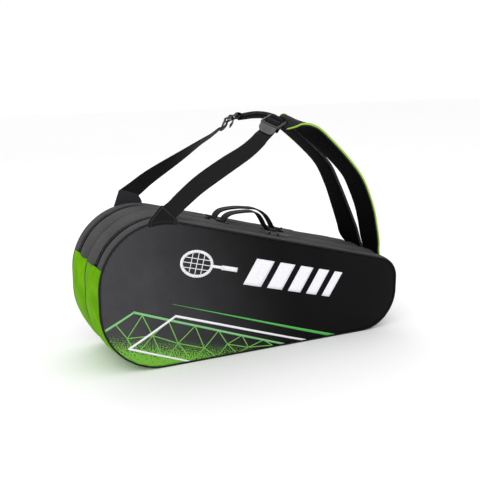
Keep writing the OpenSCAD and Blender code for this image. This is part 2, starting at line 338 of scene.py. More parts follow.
def woven_cloth(name, dark, light, thread_mm, fleck_mm, roughness, depth_mm=0.25, fleck=0.5, shine=0.12):
    """Woven cloth: threads raised by two crossed waves, flecks of two yarn shades, soft fading."""
    finish, tree, skin = new_finish(name, roughness, Specular_IOR_Level=shine)
    place = add_node(tree, "UVMap", uv_map="cloth").outputs["UV"]
    threads = 314.16 / thread_mm
    warp = add_node(tree, "TexWave", {"Vector": place, "Scale": threads}, bands_direction="X")
    weft = add_node(tree, "TexWave", {"Vector": place, "Scale": threads}, bands_direction="Y")
    weave = add_node(tree, "Math", {0: warp.outputs["Fac"], 1: weft.outputs["Fac"]}, operation="MULTIPLY")
    yarn = add_node(tree, "TexNoise", {"Vector": place, "Scale": 1000 / fleck_mm, "Detail": 3.0})
    spread = add_node(tree, "MapRange", {
        "Value": yarn.outputs[0], "From Min": 0.5 - 0.25 * fleck, "From Max": 0.5 + 0.25 * fleck})
    shade = add_node(tree, "Mix", {
        0: spread.outputs[0], 6: linear(dark), 7: linear(light)}, data_type="RGBA")
    worn = add_node(tree, "TexNoise", {"Vector": place, "Scale": 14.0, "Detail": 2.0})
    fade = add_node(tree, "MapRange", {
        "Value": worn.outputs[0], "From Min": 0.3, "From Max": 0.7, "To Min": 0.88, "To Max": 1.08})
    toned = add_node(tree, "Mix", {
        0: 1.0, 6: shade.outputs[2], 7: fade.outputs[0]}, data_type="RGBA", blend_type="MULTIPLY")
    tree.links.new(toned.outputs[2], skin.inputs["Base Color"])
    bump = add_node(tree, "Bump", {
        "Strength": 0.6, "Distance": depth_mm / 1000, "Height": weave.outputs[0]})
    tree.links.new(bump.outputs[0], skin.inputs["Normal"])
    return finish


# Heathered polyester: charcoal sprinkled with lighter grey, and quite matt. Its threads are
# 0.4 mm apart and too fine to show, so the weave is drawn at 1.6 mm.
heather = woven_cloth(
    "heathered_polyester", "#323233", "#5a5a5b", 1.6, 1.6, 0.8, fleck=0.6, shine=0.06)
# Taffeta: smooth blue-black cloth with a trace of sheen, its weave drawn at 1.4 mm.
lining = woven_cloth("lining_taffeta", "#1c1d20", "#2a2b30", 1.4, 3.0, 0.6)
# Distances from the middle seam: the gusset's zip edge, the piping, and the cloth tucked
# under the piping.
ZIP_EDGE, PIPING_EDGE = 0.0575, 0.1010
TUCKED_EDGE = PIPING_EDGE + 0.0002
# The thickness of cloth, foam and lining together, and a point halfway along the top.
LINED_WALL = 0.0032
TOP_MIDDLE = (0, 0, 0.268)

for side, out in SIDES:
    bm = bmesh.new()
    sweep_outline(bm, puffed(out * ZIP_EDGE, out * 0.0003, 0.0066, 12, -0.0012), False)
    cut(bm, FOLD_POINT, -FOLD_UP)
    rumple(bm, 0.0026, 0.07, 0.028, 3.1 + out, (0, out * ZIP_EDGE), 0.014)
    strip_map(bm, TOP_MIDDLE)
    face_out(bm)
    gusset = thicken(make_piece(bm, side + "_gusset_cloth", heather, lining, recalc=False), LINED_WALL)
    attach(gusset, "shell")
    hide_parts(side + "_gusset")


# ---- Gusset strips on the lids ----
# The same heathered cloth between each zip and the panel's piping. It opens with the lid
# and bends where it runs down into the fixed side at the two zip ends.

# The length of cloth that the bend takes up, and how far from the middle seam the strip's
# zip edge and the fold in the panel lie.
BEND = 0.050
LID_ZIP_EDGE = 0.0725
FOLD_Y = 0.105


def open_with_lid(piece, side, out):
    """Bends a piece across the soft fold between the bag's body and its lid."""
    start = FOLD_POINT + Vector((0, out * FOLD_Y, 0))
    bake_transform(piece, "shell", side + "_lid", start=start, end=start + FOLD_UP * BEND)


for side, out in SIDES:
    bm = bmesh.new()
    sweep_outline(bm, puffed(out * TUCKED_EDGE, out * LID_ZIP_EDGE, 0.0036, 8, -0.0010), False)
    cut(bm, FOLD_POINT, -FOLD_UP)
    rumple(bm, 0.0016, 0.05, 0.02, 7.7 + out, (out * LID_ZIP_EDGE, out * PIPING_EDGE), 0.012)
    strip_map(bm, TOP_MIDDLE)
    face_out(bm)
    strip = thicken(make_piece(bm, side + "_lid_gusset_cloth", heather, lining, recalc=False), LINED_WALL)
    open_with_lid(strip, side, out)
    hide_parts(side + "_lid_gusset")


# ---- Lime wraps ----
# Coated polyester in lime, one piece each side of the middle seam round the lower head end.
# It is cut a little full, so it hangs in soft upright wrinkles between piping and seam.

# Coated lime polyester: a strong yellow-green that drifts slowly in shade, with no gloss.
# Its 0.5 mm weave is drawn at 1.8 mm.
lime_cloth = woven_cloth(
    "coated_lime_polyester", "#5a9400", "#6caa00", 1.8, 40.0, 0.6, 0.12, 1.0, shine=0.02)
for side, out in SIDES:
    bm = bmesh.new()
    sweep_outline(bm, puffed(out * TUCKED_EDGE, out * 0.0005, 0.0052, 16, -0.0014), False)
    cut(bm, FOLD_POINT, FOLD_UP)
    cut(bm, Vector((WRAP_END, 0, 0)), Vector((1, 0, 0)))
    rumple(bm, 0.0046, 0.16, 0.022, 11.3 + 2 * out, (0, out * PIPING_EDGE), 0.016)
    strip_map(bm, (-0.34, 0, 0.06))
    face_out(bm)
    wrap = thicken(make_piece(bm, side + "_wrap_cloth", lime_cloth, lining, recalc=False), LINED_WALL)
    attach(wrap, "shell")
    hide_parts(side + "_green_wrap")


# ---- Base ----
# One strip of coarse coated cloth under both compartments and up the handle end.
# It takes the wear, so it is heavier and darker than the gusset.

# Coated base cloth: near black, coarse and dull. Its 0.8 mm threads are drawn at 2.2 mm.
base_cloth = woven_cloth("coated_base_cloth", "#19191b", "#262629", 2.2, 2.0, 0.65, 0.35)
bm = bmesh.new()
sweep_outline(bm, puffed(-TUCKED_EDGE, TUCKED_EDGE, 0.0016, 22), False)
cut(bm, FOLD_POINT, FOLD_UP)
cut(bm, Vector((WRAP_END, 0, 0)), Vector((-1, 0, 0)))
rumple(bm, 0.0014, 0.08, 0.05, 21.0, (-PIPING_EDGE, PIPING_EDGE))
strip_map(bm, (0.1, 0, 0))
face_out(bm)
base = thicken(make_piece(bm, "base_cloth", base_cloth, lining, recalc=False), LINED_WALL)
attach(base, "shell")
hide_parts("base_gusset")


# ---- Panels ----
# Coated polyester over foam, one piece from the base to the lid's rim. Foam and stitching
# crown it a few millimetres, with small puckers where the rim is gathered into the piping.

# How far the panel stops short of the outline, its rim's distance from the middle seam, its
# crown, the grid it is cut from, and the angle between the planes that trim its corners.
PANEL_RIM = 0.0034
PANEL_FACE = 0.1036
CROWN = 0.0060
GRID_L, GRID_H, GRID_MIDDLE = 0.76, 0.34, 0.164
TRIM_ANGLE = math.radians(4)


def trim_to_outline(bm, inset):
    """Cuts a flat grid to the outline, one touching plane after another."""
    for x, z, r, start, sweep in ARCS:
        count = math.ceil(sweep / TRIM_ANGLE)
        for k in range(count + 1):
            out = ray(start + sweep * k / count)
            cut(bm, Vector((x, 0, z)) + out * (r - inset), out)


def upright_grid(bm, cell, inset):
    """A grid in the plane of the middle seam, facing the front, cut to the outline."""
    stand = Matrix.Translation((0, 0, GRID_MIDDLE)) @ Matrix.Rotation(math.radians(90), 4, "X")
    bmesh.ops.create_grid(
        bm, x_segments=round(GRID_L / cell), y_segments=round(GRID_H / cell), size=1,
        matrix=stand @ Matrix.Diagonal((GRID_L / 2, GRID_H / 2, 1, 1)))
    trim_to_outline(bm, inset)


def crown(bm, out, face, rise, seed):
    """Swells a panel outwards from its rim at y = face, with puckers along the rim."""
    for v in bm.verts:
        done, _, depth = on_outline(v.co)
        swell = rise * (1 - math.exp(-max(depth - PANEL_RIM, 0) / 0.030))
        pucker = noise.noise(Vector((done / 0.016, seed, 0))) * math.exp(-depth / 0.022) * 0.0011
        slack = noise.noise(Vector((v.co.x / 0.11, seed, v.co.z / 0.07))) * 0.0011
        v.co.y = out * (face + swell + (pucker + slack) * min(1.0, (depth - PANEL_RIM) / 0.01))


def printed_cloth(name, with_dots):
    """Printed panel cloth: charcoal at the lower head end fading to black towards the handles, partly the
    print's own fade and partly painted light, and lime ink dots.
    """
    finish, tree, skin = new_finish(name, 0.5, Specular_IOR_Level=0.07)
    place = add_node(tree, "UVMap", uv_map="cloth").outputs["UV"]
    split = add_node(tree, "SeparateXYZ", {"Vector": place})
    x, z = split.outputs["X"], split.outputs["Y"]
    # The fade is partly the print's own and partly painted light: paler towards the lower head end, darker
    # towards the handles and the top.
    lean = add_node(tree, "Math", {0: z, 1: 0.35, 2: x}, operation="MULTIPLY_ADD")
    ramp = add_node(tree, "MapRange", {"Value": lean.outputs[0], "From Min": -0.34, "From Max": 0.14},
                    interpolation_type="SMOOTHSTEP")
    fade_and_painted_light = add_node(tree, "Mix", {
        0: ramp.outputs[0], 6: linear("#424244"), 7: linear("#08080a")}, data_type="RGBA")
    worn = add_node(tree, "TexNoise", {"Vector": place, "Scale": 16.0, "Detail": 4.0})
    fade = add_node(tree, "MapRange", {
        "Value": worn.outputs[0], "From Min": 0.3, "From Max": 0.7, "To Min": 0.86, "To Max": 1.12})
    colour = add_node(tree, "Mix", {
        0: 1.0, 6: fade_and_painted_light.outputs[2], 7: fade.outputs[0]}, data_type="RGBA", blend_type="MULTIPLY")
    if with_dots:
        # Dots 3.4 mm apart grow towards the lower head end until the ink is solid there.
        top = add_node(tree, "Math", {0: x, 1: -0.25, 2: 0.014}, operation="MULTIPLY_ADD")
        under = add_node(tree, "Math", {0: top.outputs[0], 1: z}, operation="SUBTRACT")
        field = add_node(tree, "MapRange", {
            "Value": under.outputs[0], "From Min": 0.0, "From Max": 0.070, "To Max": 0.85})
        cells = add_node(tree, "TexVoronoi", {
            "Vector": place, "Scale": 1000 / 3.4, "Randomness": 0.8}, voronoi_dimensions="2D")
        dots = add_node(tree, "Math", {
            0: cells.outputs["Distance"], 1: field.outputs[0]}, operation="LESS_THAN")
        colour = add_node(tree, "Mix", {
            0: dots.outputs[0], 6: colour.outputs[2], 7: linear("#70b03a")}, data_type="RGBA")
    tree.links.new(colour.outputs[2], skin.inputs["Base Color"])
    # The coated weave's 0.5 mm threads are drawn at 1.8 mm so that they show.
    threads = 314.16 / 1.8
    warp = add_node(tree, "TexWave", {"Vector": place, "Scale": threads}, bands_direction="X")
    weft = add_node(tree, "TexWave", {"Vector": place, "Scale": threads}, bands_direction="Y")
    weave = add_node(tree, "Math", {0: warp.outputs["Fac"], 1: weft.outputs["Fac"]}, operation="MULTIPLY")
    bump = add_node(tree, "Bump", {"Strength": 0.35, "Distance": 0.0002, "Height": weave.outputs[0]})
    tree.links.new(bump.outputs[0], skin.inputs["Normal"])
    return finish


# Coated polyester: a smooth sheet that fades from charcoal to black, partly the print's own fade and partly
# painted light, with a faint satin light on its crown. The front one also has a field of lime dots that close
# up to solid ink.
panel_cloth = {
    "front": printed_cloth("printed_coated_polyester", True),
    "rear": printed_cloth("plain_coated_polyester", False)}
for side, out in SIDES:
    bm = bmesh.new()
    upright_grid(bm, 0.008, PANEL_RIM)
    crown(bm, out, PANEL_FACE, CROWN, 2.0 + out)
    cloth_map(bm, lambda co: (co.x, co.z))
    if out > 0:
        bmesh.ops.reverse_faces(bm, faces=bm.faces[:])
    cut_area = sum(f.calc_area() for f in bm.faces)
    if side == "front":
        front_surface = BVHTree.FromBMesh(bm)
    panel = thicken(
        make_piece(bm, side + "_panel_cloth", panel_cloth[side], lining, recalc=False), 0.0014)
    open_with_lid(panel, side, out)
    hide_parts(side + "_lower_panel", side + "_lid_panel")


# ---- Foam and lining behind the panels ----
# Soft foam bonded to taffeta lining, sewn in with the panel's rim.
# It stiffens the panel and pads the rackets.
FOAM_FACE = 0.1016
# Quilted lining: soft 45 mm diamonds, with painted shade darkening their stitched valleys so that their
# crowns look paler.
quilt, tree, skin = new_finish("quilted_foam_lining", 0.6, Sheen_Weight=0.1)
place = add_node(tree, "UVMap", uv_map="cloth").outputs["UV"]
turned = add_node(tree, "Mapping", {"Vector": place, "Rotation": (0, 0, math.radians(45))})
rows = [add_node(tree, "TexWave", {
    "Vector": turned.outputs[0], "Scale": 314.16 / 45}, bands_direction=way) for way in "XY"]
cells = add_node(tree, "Math", {0: rows[0].outputs["Fac"], 1: rows[1].outputs["Fac"]}, operation="MINIMUM")
pillow = add_node(tree, "Math", {0: cells.outputs[0], 1: 0.35}, operation="POWER")
# The colour follows the pillows' height: painted shade in the valleys, paler on the crowns.
shade = add_node(tree, "Mix", {
    0: pillow.outputs[0], 6: linear("#1f2023"), 7: linear("#3a3b41")}, data_type="RGBA")
tree.links.new(shade.outputs[2], skin.inputs["Base Color"])
bump = add_node(tree, "Bump", {"Strength": 0.8, "Distance": 0.002, "Height": pillow.outputs[0]})
tree.links.new(bump.outputs[0], skin.inputs["Normal"])
for side, out in SIDES:
    bm = bmesh.new()
    upright_grid(bm, 0.016, 0.0046)
    crown(bm, out, FOAM_FACE, CROWN * 0.95, 2.0 + out)
    cloth_map(bm, lambda co: (co.x, co.z))
    if out > 0:
        bmesh.ops.reverse_faces(bm, faces=bm.faces[:])
    foam = thicken(make_piece(bm, side + "_panel_foam", quilt, recalc=False), 0.0040, False)
    open_with_lid(foam, side, out)
    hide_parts(side + "_lower_foam", side + "_lid_foam")


# ---- Piping ----
# A cord wrapped in black coated tape and sewn between each panel and the gusset.
# It draws the panel's rim as one clean round line.
def mottled(name, dark, light, roughness, scale, detail, strength, depth_mm, **sockets):
    """A moulded, cast or coated skin: two close shades in a soft mottle, faintly uneven."""
    finish, tree, skin = new_finish(name, roughness, **sockets)
    place = add_node(tree, "TexCoord").outputs["Object"]
    mottle = add_node(tree, "TexNoise", {"Vector": place, "Scale": scale, "Detail": detail})
    shade = add_node(tree, "Mix", {
        0: mottle.outputs[0], 6: linear(dark), 7: linear(light)}, data_type="RGBA")
    tree.links.new(shade.outputs[2], skin.inputs["Base Color"])
    bump = add_node(tree, "Bump", {
        "Strength": strength, "Distance": depth_mm / 1000, "Height": mottle.outputs[0]})
    tree.links.new(bump.outputs[0], skin.inputs["Normal"])
    return finish


# Coated tape: black with a low sheen, so that it reads as a drawn line.
piping_tape = mottled(
    "coated_piping_tape", "#060607", "#131315", 0.45, 60.0, 3.0, 0.3, 0.3, Specular_IOR_Level=0.2)
PIPE_R, PIPE_Y, PIPE_DEPTH = 0.0021, 0.1034, 0.0022
turns = [math.tau * k / 10 for k in range(10)]
for side, out in SIDES:
    bm = bmesh.new()
    sweep_outline(bm, [
        (out * PIPE_Y + PIPE_R * math.cos(a), PIPE_R * math.sin(a) - PIPE_DEPTH) for a in turns], True)
    piping = make_piece(bm, side + "_piping", piping_tape)
    open_with_lid(piping, side, out)
    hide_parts(side + "_lower_piping", side + "_lid_piping")


# ---- Middle seam ----
# A narrow black strip laid in the seam where the front and rear halves meet: painted shade standing for the
# seam's dark groove. It shows as one dark line over the top and down the lime end.
# A black strip sunk in the seam gap, painted shade for the groove.
SEAM_SHADE_STRIP = ((-0.0020, -0.0016), (-0.0014, -0.0004), (0.0014, -0.0004), (0.0020, -0.0016))
for part, away in (("gusset", -FOLD_UP), ("wrap", FOLD_UP)):
    bm = bmesh.new()
    sweep_outline(bm, SEAM_SHADE_STRIP, True)
    cut(bm, FOLD_POINT, away)
    if part == "wrap":
        cut(bm, Vector((WRAP_END, 0, 0)), Vector((1, 0, 0)))
    close_ends(bm)
    tape = make_piece(bm, part + "_seam_shade_strip", piping_tape)
    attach(tape, "shell")


# ---- Divider and its pocket ----
# A padded wall of foam in taffeta between the two compartments, on the middle seam,
# with a flat mesh-fronted pocket sewn to its front face under a folded hem.
bm = bmesh.new()
upright_grid(bm, 0.016, 0.0046)
for v in bm.verts:
    _, _, depth = on_outline(v.co)
    wave = noise.noise(Vector((v.co.x / 0.12, 5.0, v.co.z / 0.09)))
    v.co.y = 0.0018 + 0.0016 * wave * min(1.0, depth / 0.03)
cloth_map(bm, lambda co: (co.x, co.z))
divider = thicken(make_piece(bm, "divider_wall", quilt, recalc=False), 0.0036, False)
divider.modifiers[0].offset = 0
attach(divider, "shell")
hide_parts("centre_divider")

# Pocket netting: a dark open mesh. Its holes are about 1 mm apart and are drawn at 3 mm.
netting, tree, skin = new_finish("pocket_netting", 0.7)
place = add_node(tree, "UVMap", uv_map="cloth").outputs["UV"]
holes = add_node(tree, "TexVoronoi", {
    "Vector": place, "Scale": 1000 / 3.0, "Randomness": 0.0}, voronoi_dimensions="2D")
rim = add_node(tree, "MapRange", {
    "Value": holes.outputs["Distance"], "From Min": 0.22, "From Max": 0.34})
shade = add_node(tree, "Mix", {
    0: rim.outputs[0], 6: linear("#08080a"), 7: linear("#2c2c30")}, data_type="RGBA")
tree.links.new(shade.outputs[2], skin.inputs["Base Color"])
bump = add_node(tree, "Bump", {"Strength": 0.7, "Distance": 0.0005, "Height": rim.outputs[0]})
tree.links.new(bump.outputs[0], skin.inputs["Normal"])
POCKET_X, POCKET_Z = (-0.150, 0.080), (0.060, 0.190)
bm = bmesh.new()
bmesh.ops.create_grid(
    bm, x_segments=24, y_segments=14, size=1,
    matrix=Matrix.Translation((sum(POCKET_X) / 2, -0.0028, sum(POCKET_Z) / 2))
    @ Matrix.Rotation(math.radians(90), 4, "X") @ Matrix.Diagonal((0.115, 0.065, 1, 1)))
for v in bm.verts:
    edge = min(v.co.x - POCKET_X[0], POCKET_X[1] - v.co.x, v.co.z - POCKET_Z[0])
    v.co.y -= 0.0018 * (1 - math.exp(-max(edge, 0) / 0.02))
cloth_map(bm, lambda co: (co.x, co.z))
pocket = thicken(make_piece(bm, "divider_pocket", netting, recalc=False), 0.0006, False)
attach(pocket, "shell")
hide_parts("inner_pocket")
bm = bmesh.new()
bmesh.ops.create_cube(
    bm, size=1, matrix=Matrix.Translation((sum(POCKET_X) / 2, -0.0050, POCKET_Z[1] - 0.006))
    @ Matrix.Diagonal((0.232, 0.0022, 0.014, 1)))
bmesh.ops.bevel(
    bm, geom=bm.edges[:], offset=0.0008, segments=2, profile=0.5, affect="EDGES", material=-1)
hem = make_piece(bm, "divider_pocket_hem", piping_tape)
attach(hem, "shell")


# ---- Zips ----
# Coil zips: two woven tapes with moulded nylon teeth on their meeting edges. One tape is
# sewn to the fixed gusset, the other to the lid's strip, and folded tabs cover the ends.
ZIP_Y = 0.065
# Zip tape: dull cloth, blacker than the gusset beside it. Its threads are drawn at 1.2 mm.
tape_weave = woven_cloth("woven_zip_tape", "#040405", "#0a0a0b", 1.2, 2.0, 0.7, shine=0.05)
# Nylon coil: black teeth with a small soft glint on each. Their 1.5 mm pitch is drawn at
# 3.2 mm so that the teeth can be told apart.
coil = mottled(
    "nylon_zip_coil", "#101012", "#232326", 0.45, 90.0, 2.0, 0.2, 0.2, Specular_IOR_Level=0.3)
TOOTH_PITCH = 0.0032
# The end tab's section as (across, height), and the distances round the outline at which
# the zip meets the soft fold.
END_TAB = ((-0.0060, 0.0004), (-0.0050, 0.0026), (0, 0.0032), (0.0050, 0.0026), (0.0060, 0.0004))
HANDLE_FOLD = next(done for done, point, _ in WALK if (point - FOLD_POINT).dot(FOLD_UP) > 0)
HEAD_FOLD = max(done for done, point, _ in WALK if (point - FOLD_POINT).dot(FOLD_UP) > 0)


def zip_teeth(bm, y, first, height):
    """A row of teeth along the zip, each a bevelled block."""
    for k in range(int((HEAD_FOLD - HANDLE_FOLD - 0.004) / TOOTH_PITCH)):
        point, out = at_distance(HANDLE_FOLD + 0.002 + first + k * TOOTH_PITCH)
        ahead = Vector((-out.z, 0, out.x))
        stand = Matrix((ahead, Vector((0, 1, 0)), out)).transposed().to_4x4()
        place = Matrix.Translation(point + out * height + Vector((0, y, 0))) @ stand
        bmesh.ops.create_cube(bm, size=1, matrix=place @ Matrix.Diagonal((0.0019, 0.0026, 0.0012, 1)))
    bmesh.ops.bevel(
        bm, geom=bm.edges[:], offset=0.0004, segments=1, profile=0.5, affect="EDGES", material=-1)


for side, out in SIDES:
    for half, away, lifts in (("inner", -1, False), ("outer", 1, True)):
        near, far = (ZIP_Y + away * d for d in (0.0003, 0.0080))
        bm = bmesh.new()
        sweep_outline(bm, [
            (out * near, 0.0000), (out * far, 0.0002), (out * far, -0.0014), (out * near, -0.0016)], True)
        cut(bm, FOLD_POINT + FOLD_UP * 0.0004, -FOLD_UP)
        close_ends(bm)
        strip_map(bm, TOP_MIDDLE)
        tape = make_piece(bm, f"{side}_zip_{half}_tape", tape_weave)
        bm = bmesh.new()
        zip_teeth(bm, out * (ZIP_Y + away * 0.0014), 0.0 if lifts else TOOTH_PITCH / 2, 0.0003)
        teeth = make_piece(bm, f"{side}_zip_{half}_teeth", coil)
        for piece in (tape, teeth):
            if lifts:
                open_with_lid(piece, side, out)
            else:
                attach(piece, "shell")
        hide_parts(f"{side}_zip_{half}")
    for end, away, finish in (("head", 1, lime_cloth), ("handle", -1, base_cloth)):
        bm = bmesh.new()
        sweep_outline(bm, [(out * (ZIP_Y + w), h) for w, h in END_TAB], False, 0.004)
        cut(bm, FOLD_POINT - FOLD_UP * 0.0005, FOLD_UP)
        cut(bm, FOLD_POINT - FOLD_UP * 0.016, -FOLD_UP)
        cut(bm, Vector(), Vector((away, 0, 0)))
        strip_map(bm, (0, 0, 0))
        face_out(bm)
        cover = thicken(make_piece(bm, f"{side}_zip_{end}_end_tab", finish, recalc=False), 0.0012, False)
        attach(cover, "shell")
        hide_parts(side + "_zip_ends")


# ---- Sliders and pullers ----
# Zinc castings: black-painted sliders with a bail, and flat pullers that flip over it.
# The rear pullers are bare nickel-plated.

# Painted zinc: black with a dull glint along its edges. Nickel plate: bright grey, with soft
# rubbed patches that break up its reflections.
black_paint = mottled(
    "black_painted_zinc", "#19191b", "#2d2d30", 0.38, 220.0, 4.0, 0.25, 0.1, Metallic=0.3)
nickel = mottled(
    "nickel_plated_zinc", "#8d8d8f", "#c4c4c6", 0.28, 220.0, 4.0, 0.25, 0.1, Metallic=1.0)
for side, _ in SIDES:
    for end in ("head", "handle"):
        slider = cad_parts[f"{side}_slider_{end}"]
        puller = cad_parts[f"{side}_puller_{end}"]
        slider.data.materials.clear()
        slider.data.materials.append(black_paint)
        puller.data.materials.clear()
        puller.data.materials.append(nickel if side == "rear" else black_paint)


# ---- Grab handles ----
# Two arches of 25 mm polypropylene webbing. Their flat feet lie on coated patches, where
# a box of stitches with a cross in it takes the load.

# The sloping top ends where the outline's last corner starts. Each handle swings about a
# line HANDLE_X along it, and its middle lies HANDLE_Y from the middle seam.
TOP_TILT = math.pi / 2 - ARCS[3][3]
TOP_START = Vector((ARCS[3][0], 0, ARCS[3][1])) + ray(ARCS[3][3]) * ARCS[3][2]
HANDLE_X, HANDLE_Y = 0.012, 0.021
HANDLE_W, HANDLE_T = 0.025, 0.0034


def on_top(x, y):
    """The frame of the sloping top: X down the slope, Z out of the gusset."""
    z = TOP_START.z - (x - TOP_START.x) * math.tan(TOP_TILT)
    return Matrix.Translation((x, y, z)) @ Matrix.Rotation(TOP_TILT, 4, "Y")


def along_list(values, t):
    """A smooth curve through a list of points, sizes or directions."""
    last = len(values) - 1
    i = min(int(t), last - 1)
    u = t - i
    a, b, c, d = (values[k] for k in (max(i - 1, 0), i, i + 1, min(i + 2, last)))
    return 0.5 * (2 * b + (c - a) * u + (2 * a - 5 * b + 4 * c - d) * u * u + (
        3 * b - a - 3 * c + d) * u * u * u)


def strap_frames(route, sides, widths, per_span, shift=0.0, grade=True):
    """Frames along a strap: X across it to its outer edge, Y to its inner face, Z along it.
    shift moves them sideways by that share of half the width, and grade scales X by it."""
    last, frames = len(route) - 1, []
    for k in range(last * per_span + 1):
        t = k / per_span
        ahead = (along_list(route, min(t + 0.05, last)) - along_list(route, max(t - 0.05, 0))).normalized()
        across = along_list(sides, t)
        across = (across - ahead * across.dot(ahead)).normalized()
        width = along_list(widths, t)
        foot = along_list(route, t) + across * width / 2 * shift
        turn = Matrix((across, ahead.cross(across), ahead)).transposed().to_4x4()
        size = Matrix.Diagonal((width / 2, 1, 1, 1)) if grade else Matrix.Identity(4)
        frames.append(Matrix.Translation(foot) @ turn @ size)
    return frames


def carry_section(bm, section, frames):
    """Extrudes a closed section from frame to frame, caps it, and lays its cloth map."""
    # A graded frame's section is in half widths, so its map is scaled back to metres.
    run = bm.verts.layers.float.new("run")
    wide = bm.verts.layers.float.new("wide")
    half = frames[0].to_scale().x if frames[0].to_scale().x < 0.5 else 1.0
    ring = [bm.verts.new(frames[0] @ Vector((a, b, 0))) for a, b in section]
    for v, (a, b) in zip(ring, section):
        v[wide] = a * half
    edges = [bm.edges.new((ring[i - 1], ring[i])) for i in range(len(ring))]
    done = 0.0
    for before, after in zip(frames, frames[1:]):
        done += (after.translation - before.translation).length
        edges, moved = grow(bm, edges)
        bmesh.ops.transform(bm, matrix=after @ before.inverted(), verts=moved)
        for v in moved:
            v[run] = done
    close_ends(bm)
    layer = bm.loops.layers.uv.new("cloth")
    for face in bm.faces:
        for loop in face.loops:
            loop[layer].uv = loop.vert[wide], loop.vert[run]
    bm.verts.layers.float.remove(bm.verts.layers.float["run"])
    bm.verts.layers.float.remove(bm.verts.layers.float["wide"])


def flat_section(thickness, count=6):
    """Webbing's section for a half width of 1: flat faces and soft selvedges."""
    t = thickness / 2
    face = [-0.97 + 1.94 * k / count for k in range(count + 1)]
    return [(a, -t) for a in face] + [(1.0, 0.0)] + [(a, t) for a in reversed(face)] + [(-1.0, 0.0)]


def ribbed_webbing(name, dark, light, rib_mm):
    """Ribbed webbing: heavy weft ribs across it and fine warp yarns along it, its colour paler on the rib
    crests as a painted highlight and darker between them as painted shade.
    """
    finish, tree, skin = new_finish(name, 0.68, Specular_IOR_Level=0.15)
    place = add_node(tree, "UVMap", uv_map="cloth").outputs["UV"]
    ribs = add_node(tree, "TexWave", {
        "Vector": place, "Scale": 314.16 / rib_mm, "Distortion": 0.6}, bands_direction="Y")
    yarns = add_node(tree, "TexWave", {"Vector": place, "Scale": 314.16 / 3.0}, bands_direction="X")
    height = add_node(tree, "Math", {
        0: ribs.outputs["Fac"], 1: yarns.outputs["Fac"]}, operation="MULTIPLY")
    fuzz = add_node(tree, "TexNoise", {"Vector": place, "Scale": 300.0, "Detail": 2.0})
    both = add_node(tree, "Math", {0: height.outputs[0], 1: fuzz.outputs[0]}, operation="MULTIPLY")
    # The colour follows the ribs' height: painted highlight on the crests, painted shade in the grooves.
    shade = add_node(tree, "Mix", {0: both.outputs[0], 6: linear(dark), 7: linear(light)}, data_type="RGBA")
    tree.links.new(shade.outputs[2], skin.inputs["Base Color"])
    bump = add_node(tree, "Bump", {"Strength": 0.6, "Distance": 0.0005, "Height": height.outputs[0]})
    tree.links.new(bump.outputs[0], skin.inputs["Normal"])
    return finish


# Webbing: black with crosswise ribs that catch the light, helped by a painted highlight on their crests and
# painted shade between them. Real ribs are 1.2 mm apart and are drawn at 2.6 mm.
webbing_weave = ribbed_webbing("polypropylene_webbing", "#09090a", "#2d2d30", 2.6)
# Bonded thread: dark grey, a little lighter than the webbing, so that its rows can be seen.
thread = mottled("bonded_nylon_thread", "#242427", "#424246", 0.5, 900.0, 2.0, 0.0, 0.0)
# Stitches are 4 mm apart, and each is drawn as a short block of thread.
STITCH_PITCH, STITCH = 0.0040, (0.0028, 0.0009, 0.0006)


def sew(bm, start, end, face):
    """A row of stitches from start to end, lying on a face with that outward direction."""
    run = end - start
    ahead, up = run.normalized(), face.normalized()
    across = up.cross(ahead).normalized()
    stand = Matrix((ahead, across, ahead.cross(across))).transposed().to_4x4()
    count = max(1, round(run.length / STITCH_PITCH))
    for k in range(count):
        place = Matrix.Translation(start + run * (k + 0.5) / count) @ stand
        bmesh.ops.create_cube(bm, size=1, matrix=place @ Matrix.Diagonal((*STITCH, 1)))


def sew_box(bm, frame_of, x, y, height):
    """A box of stitches with a cross in it, x and y each a pair of local limits."""
    up = frame_of.to_3x3() @ Vector((0, 0, 1))
    corners = [frame_of @ Vector((x[a], y[b], height)) for a, b in ((0, 0), (1, 0), (1, 1), (0, 1))]
    for a, b in ((0, 1), (1, 2), (2, 3), (3, 0), (0, 2), (1, 3)):
        sew(bm, corners[a], corners[b], up)


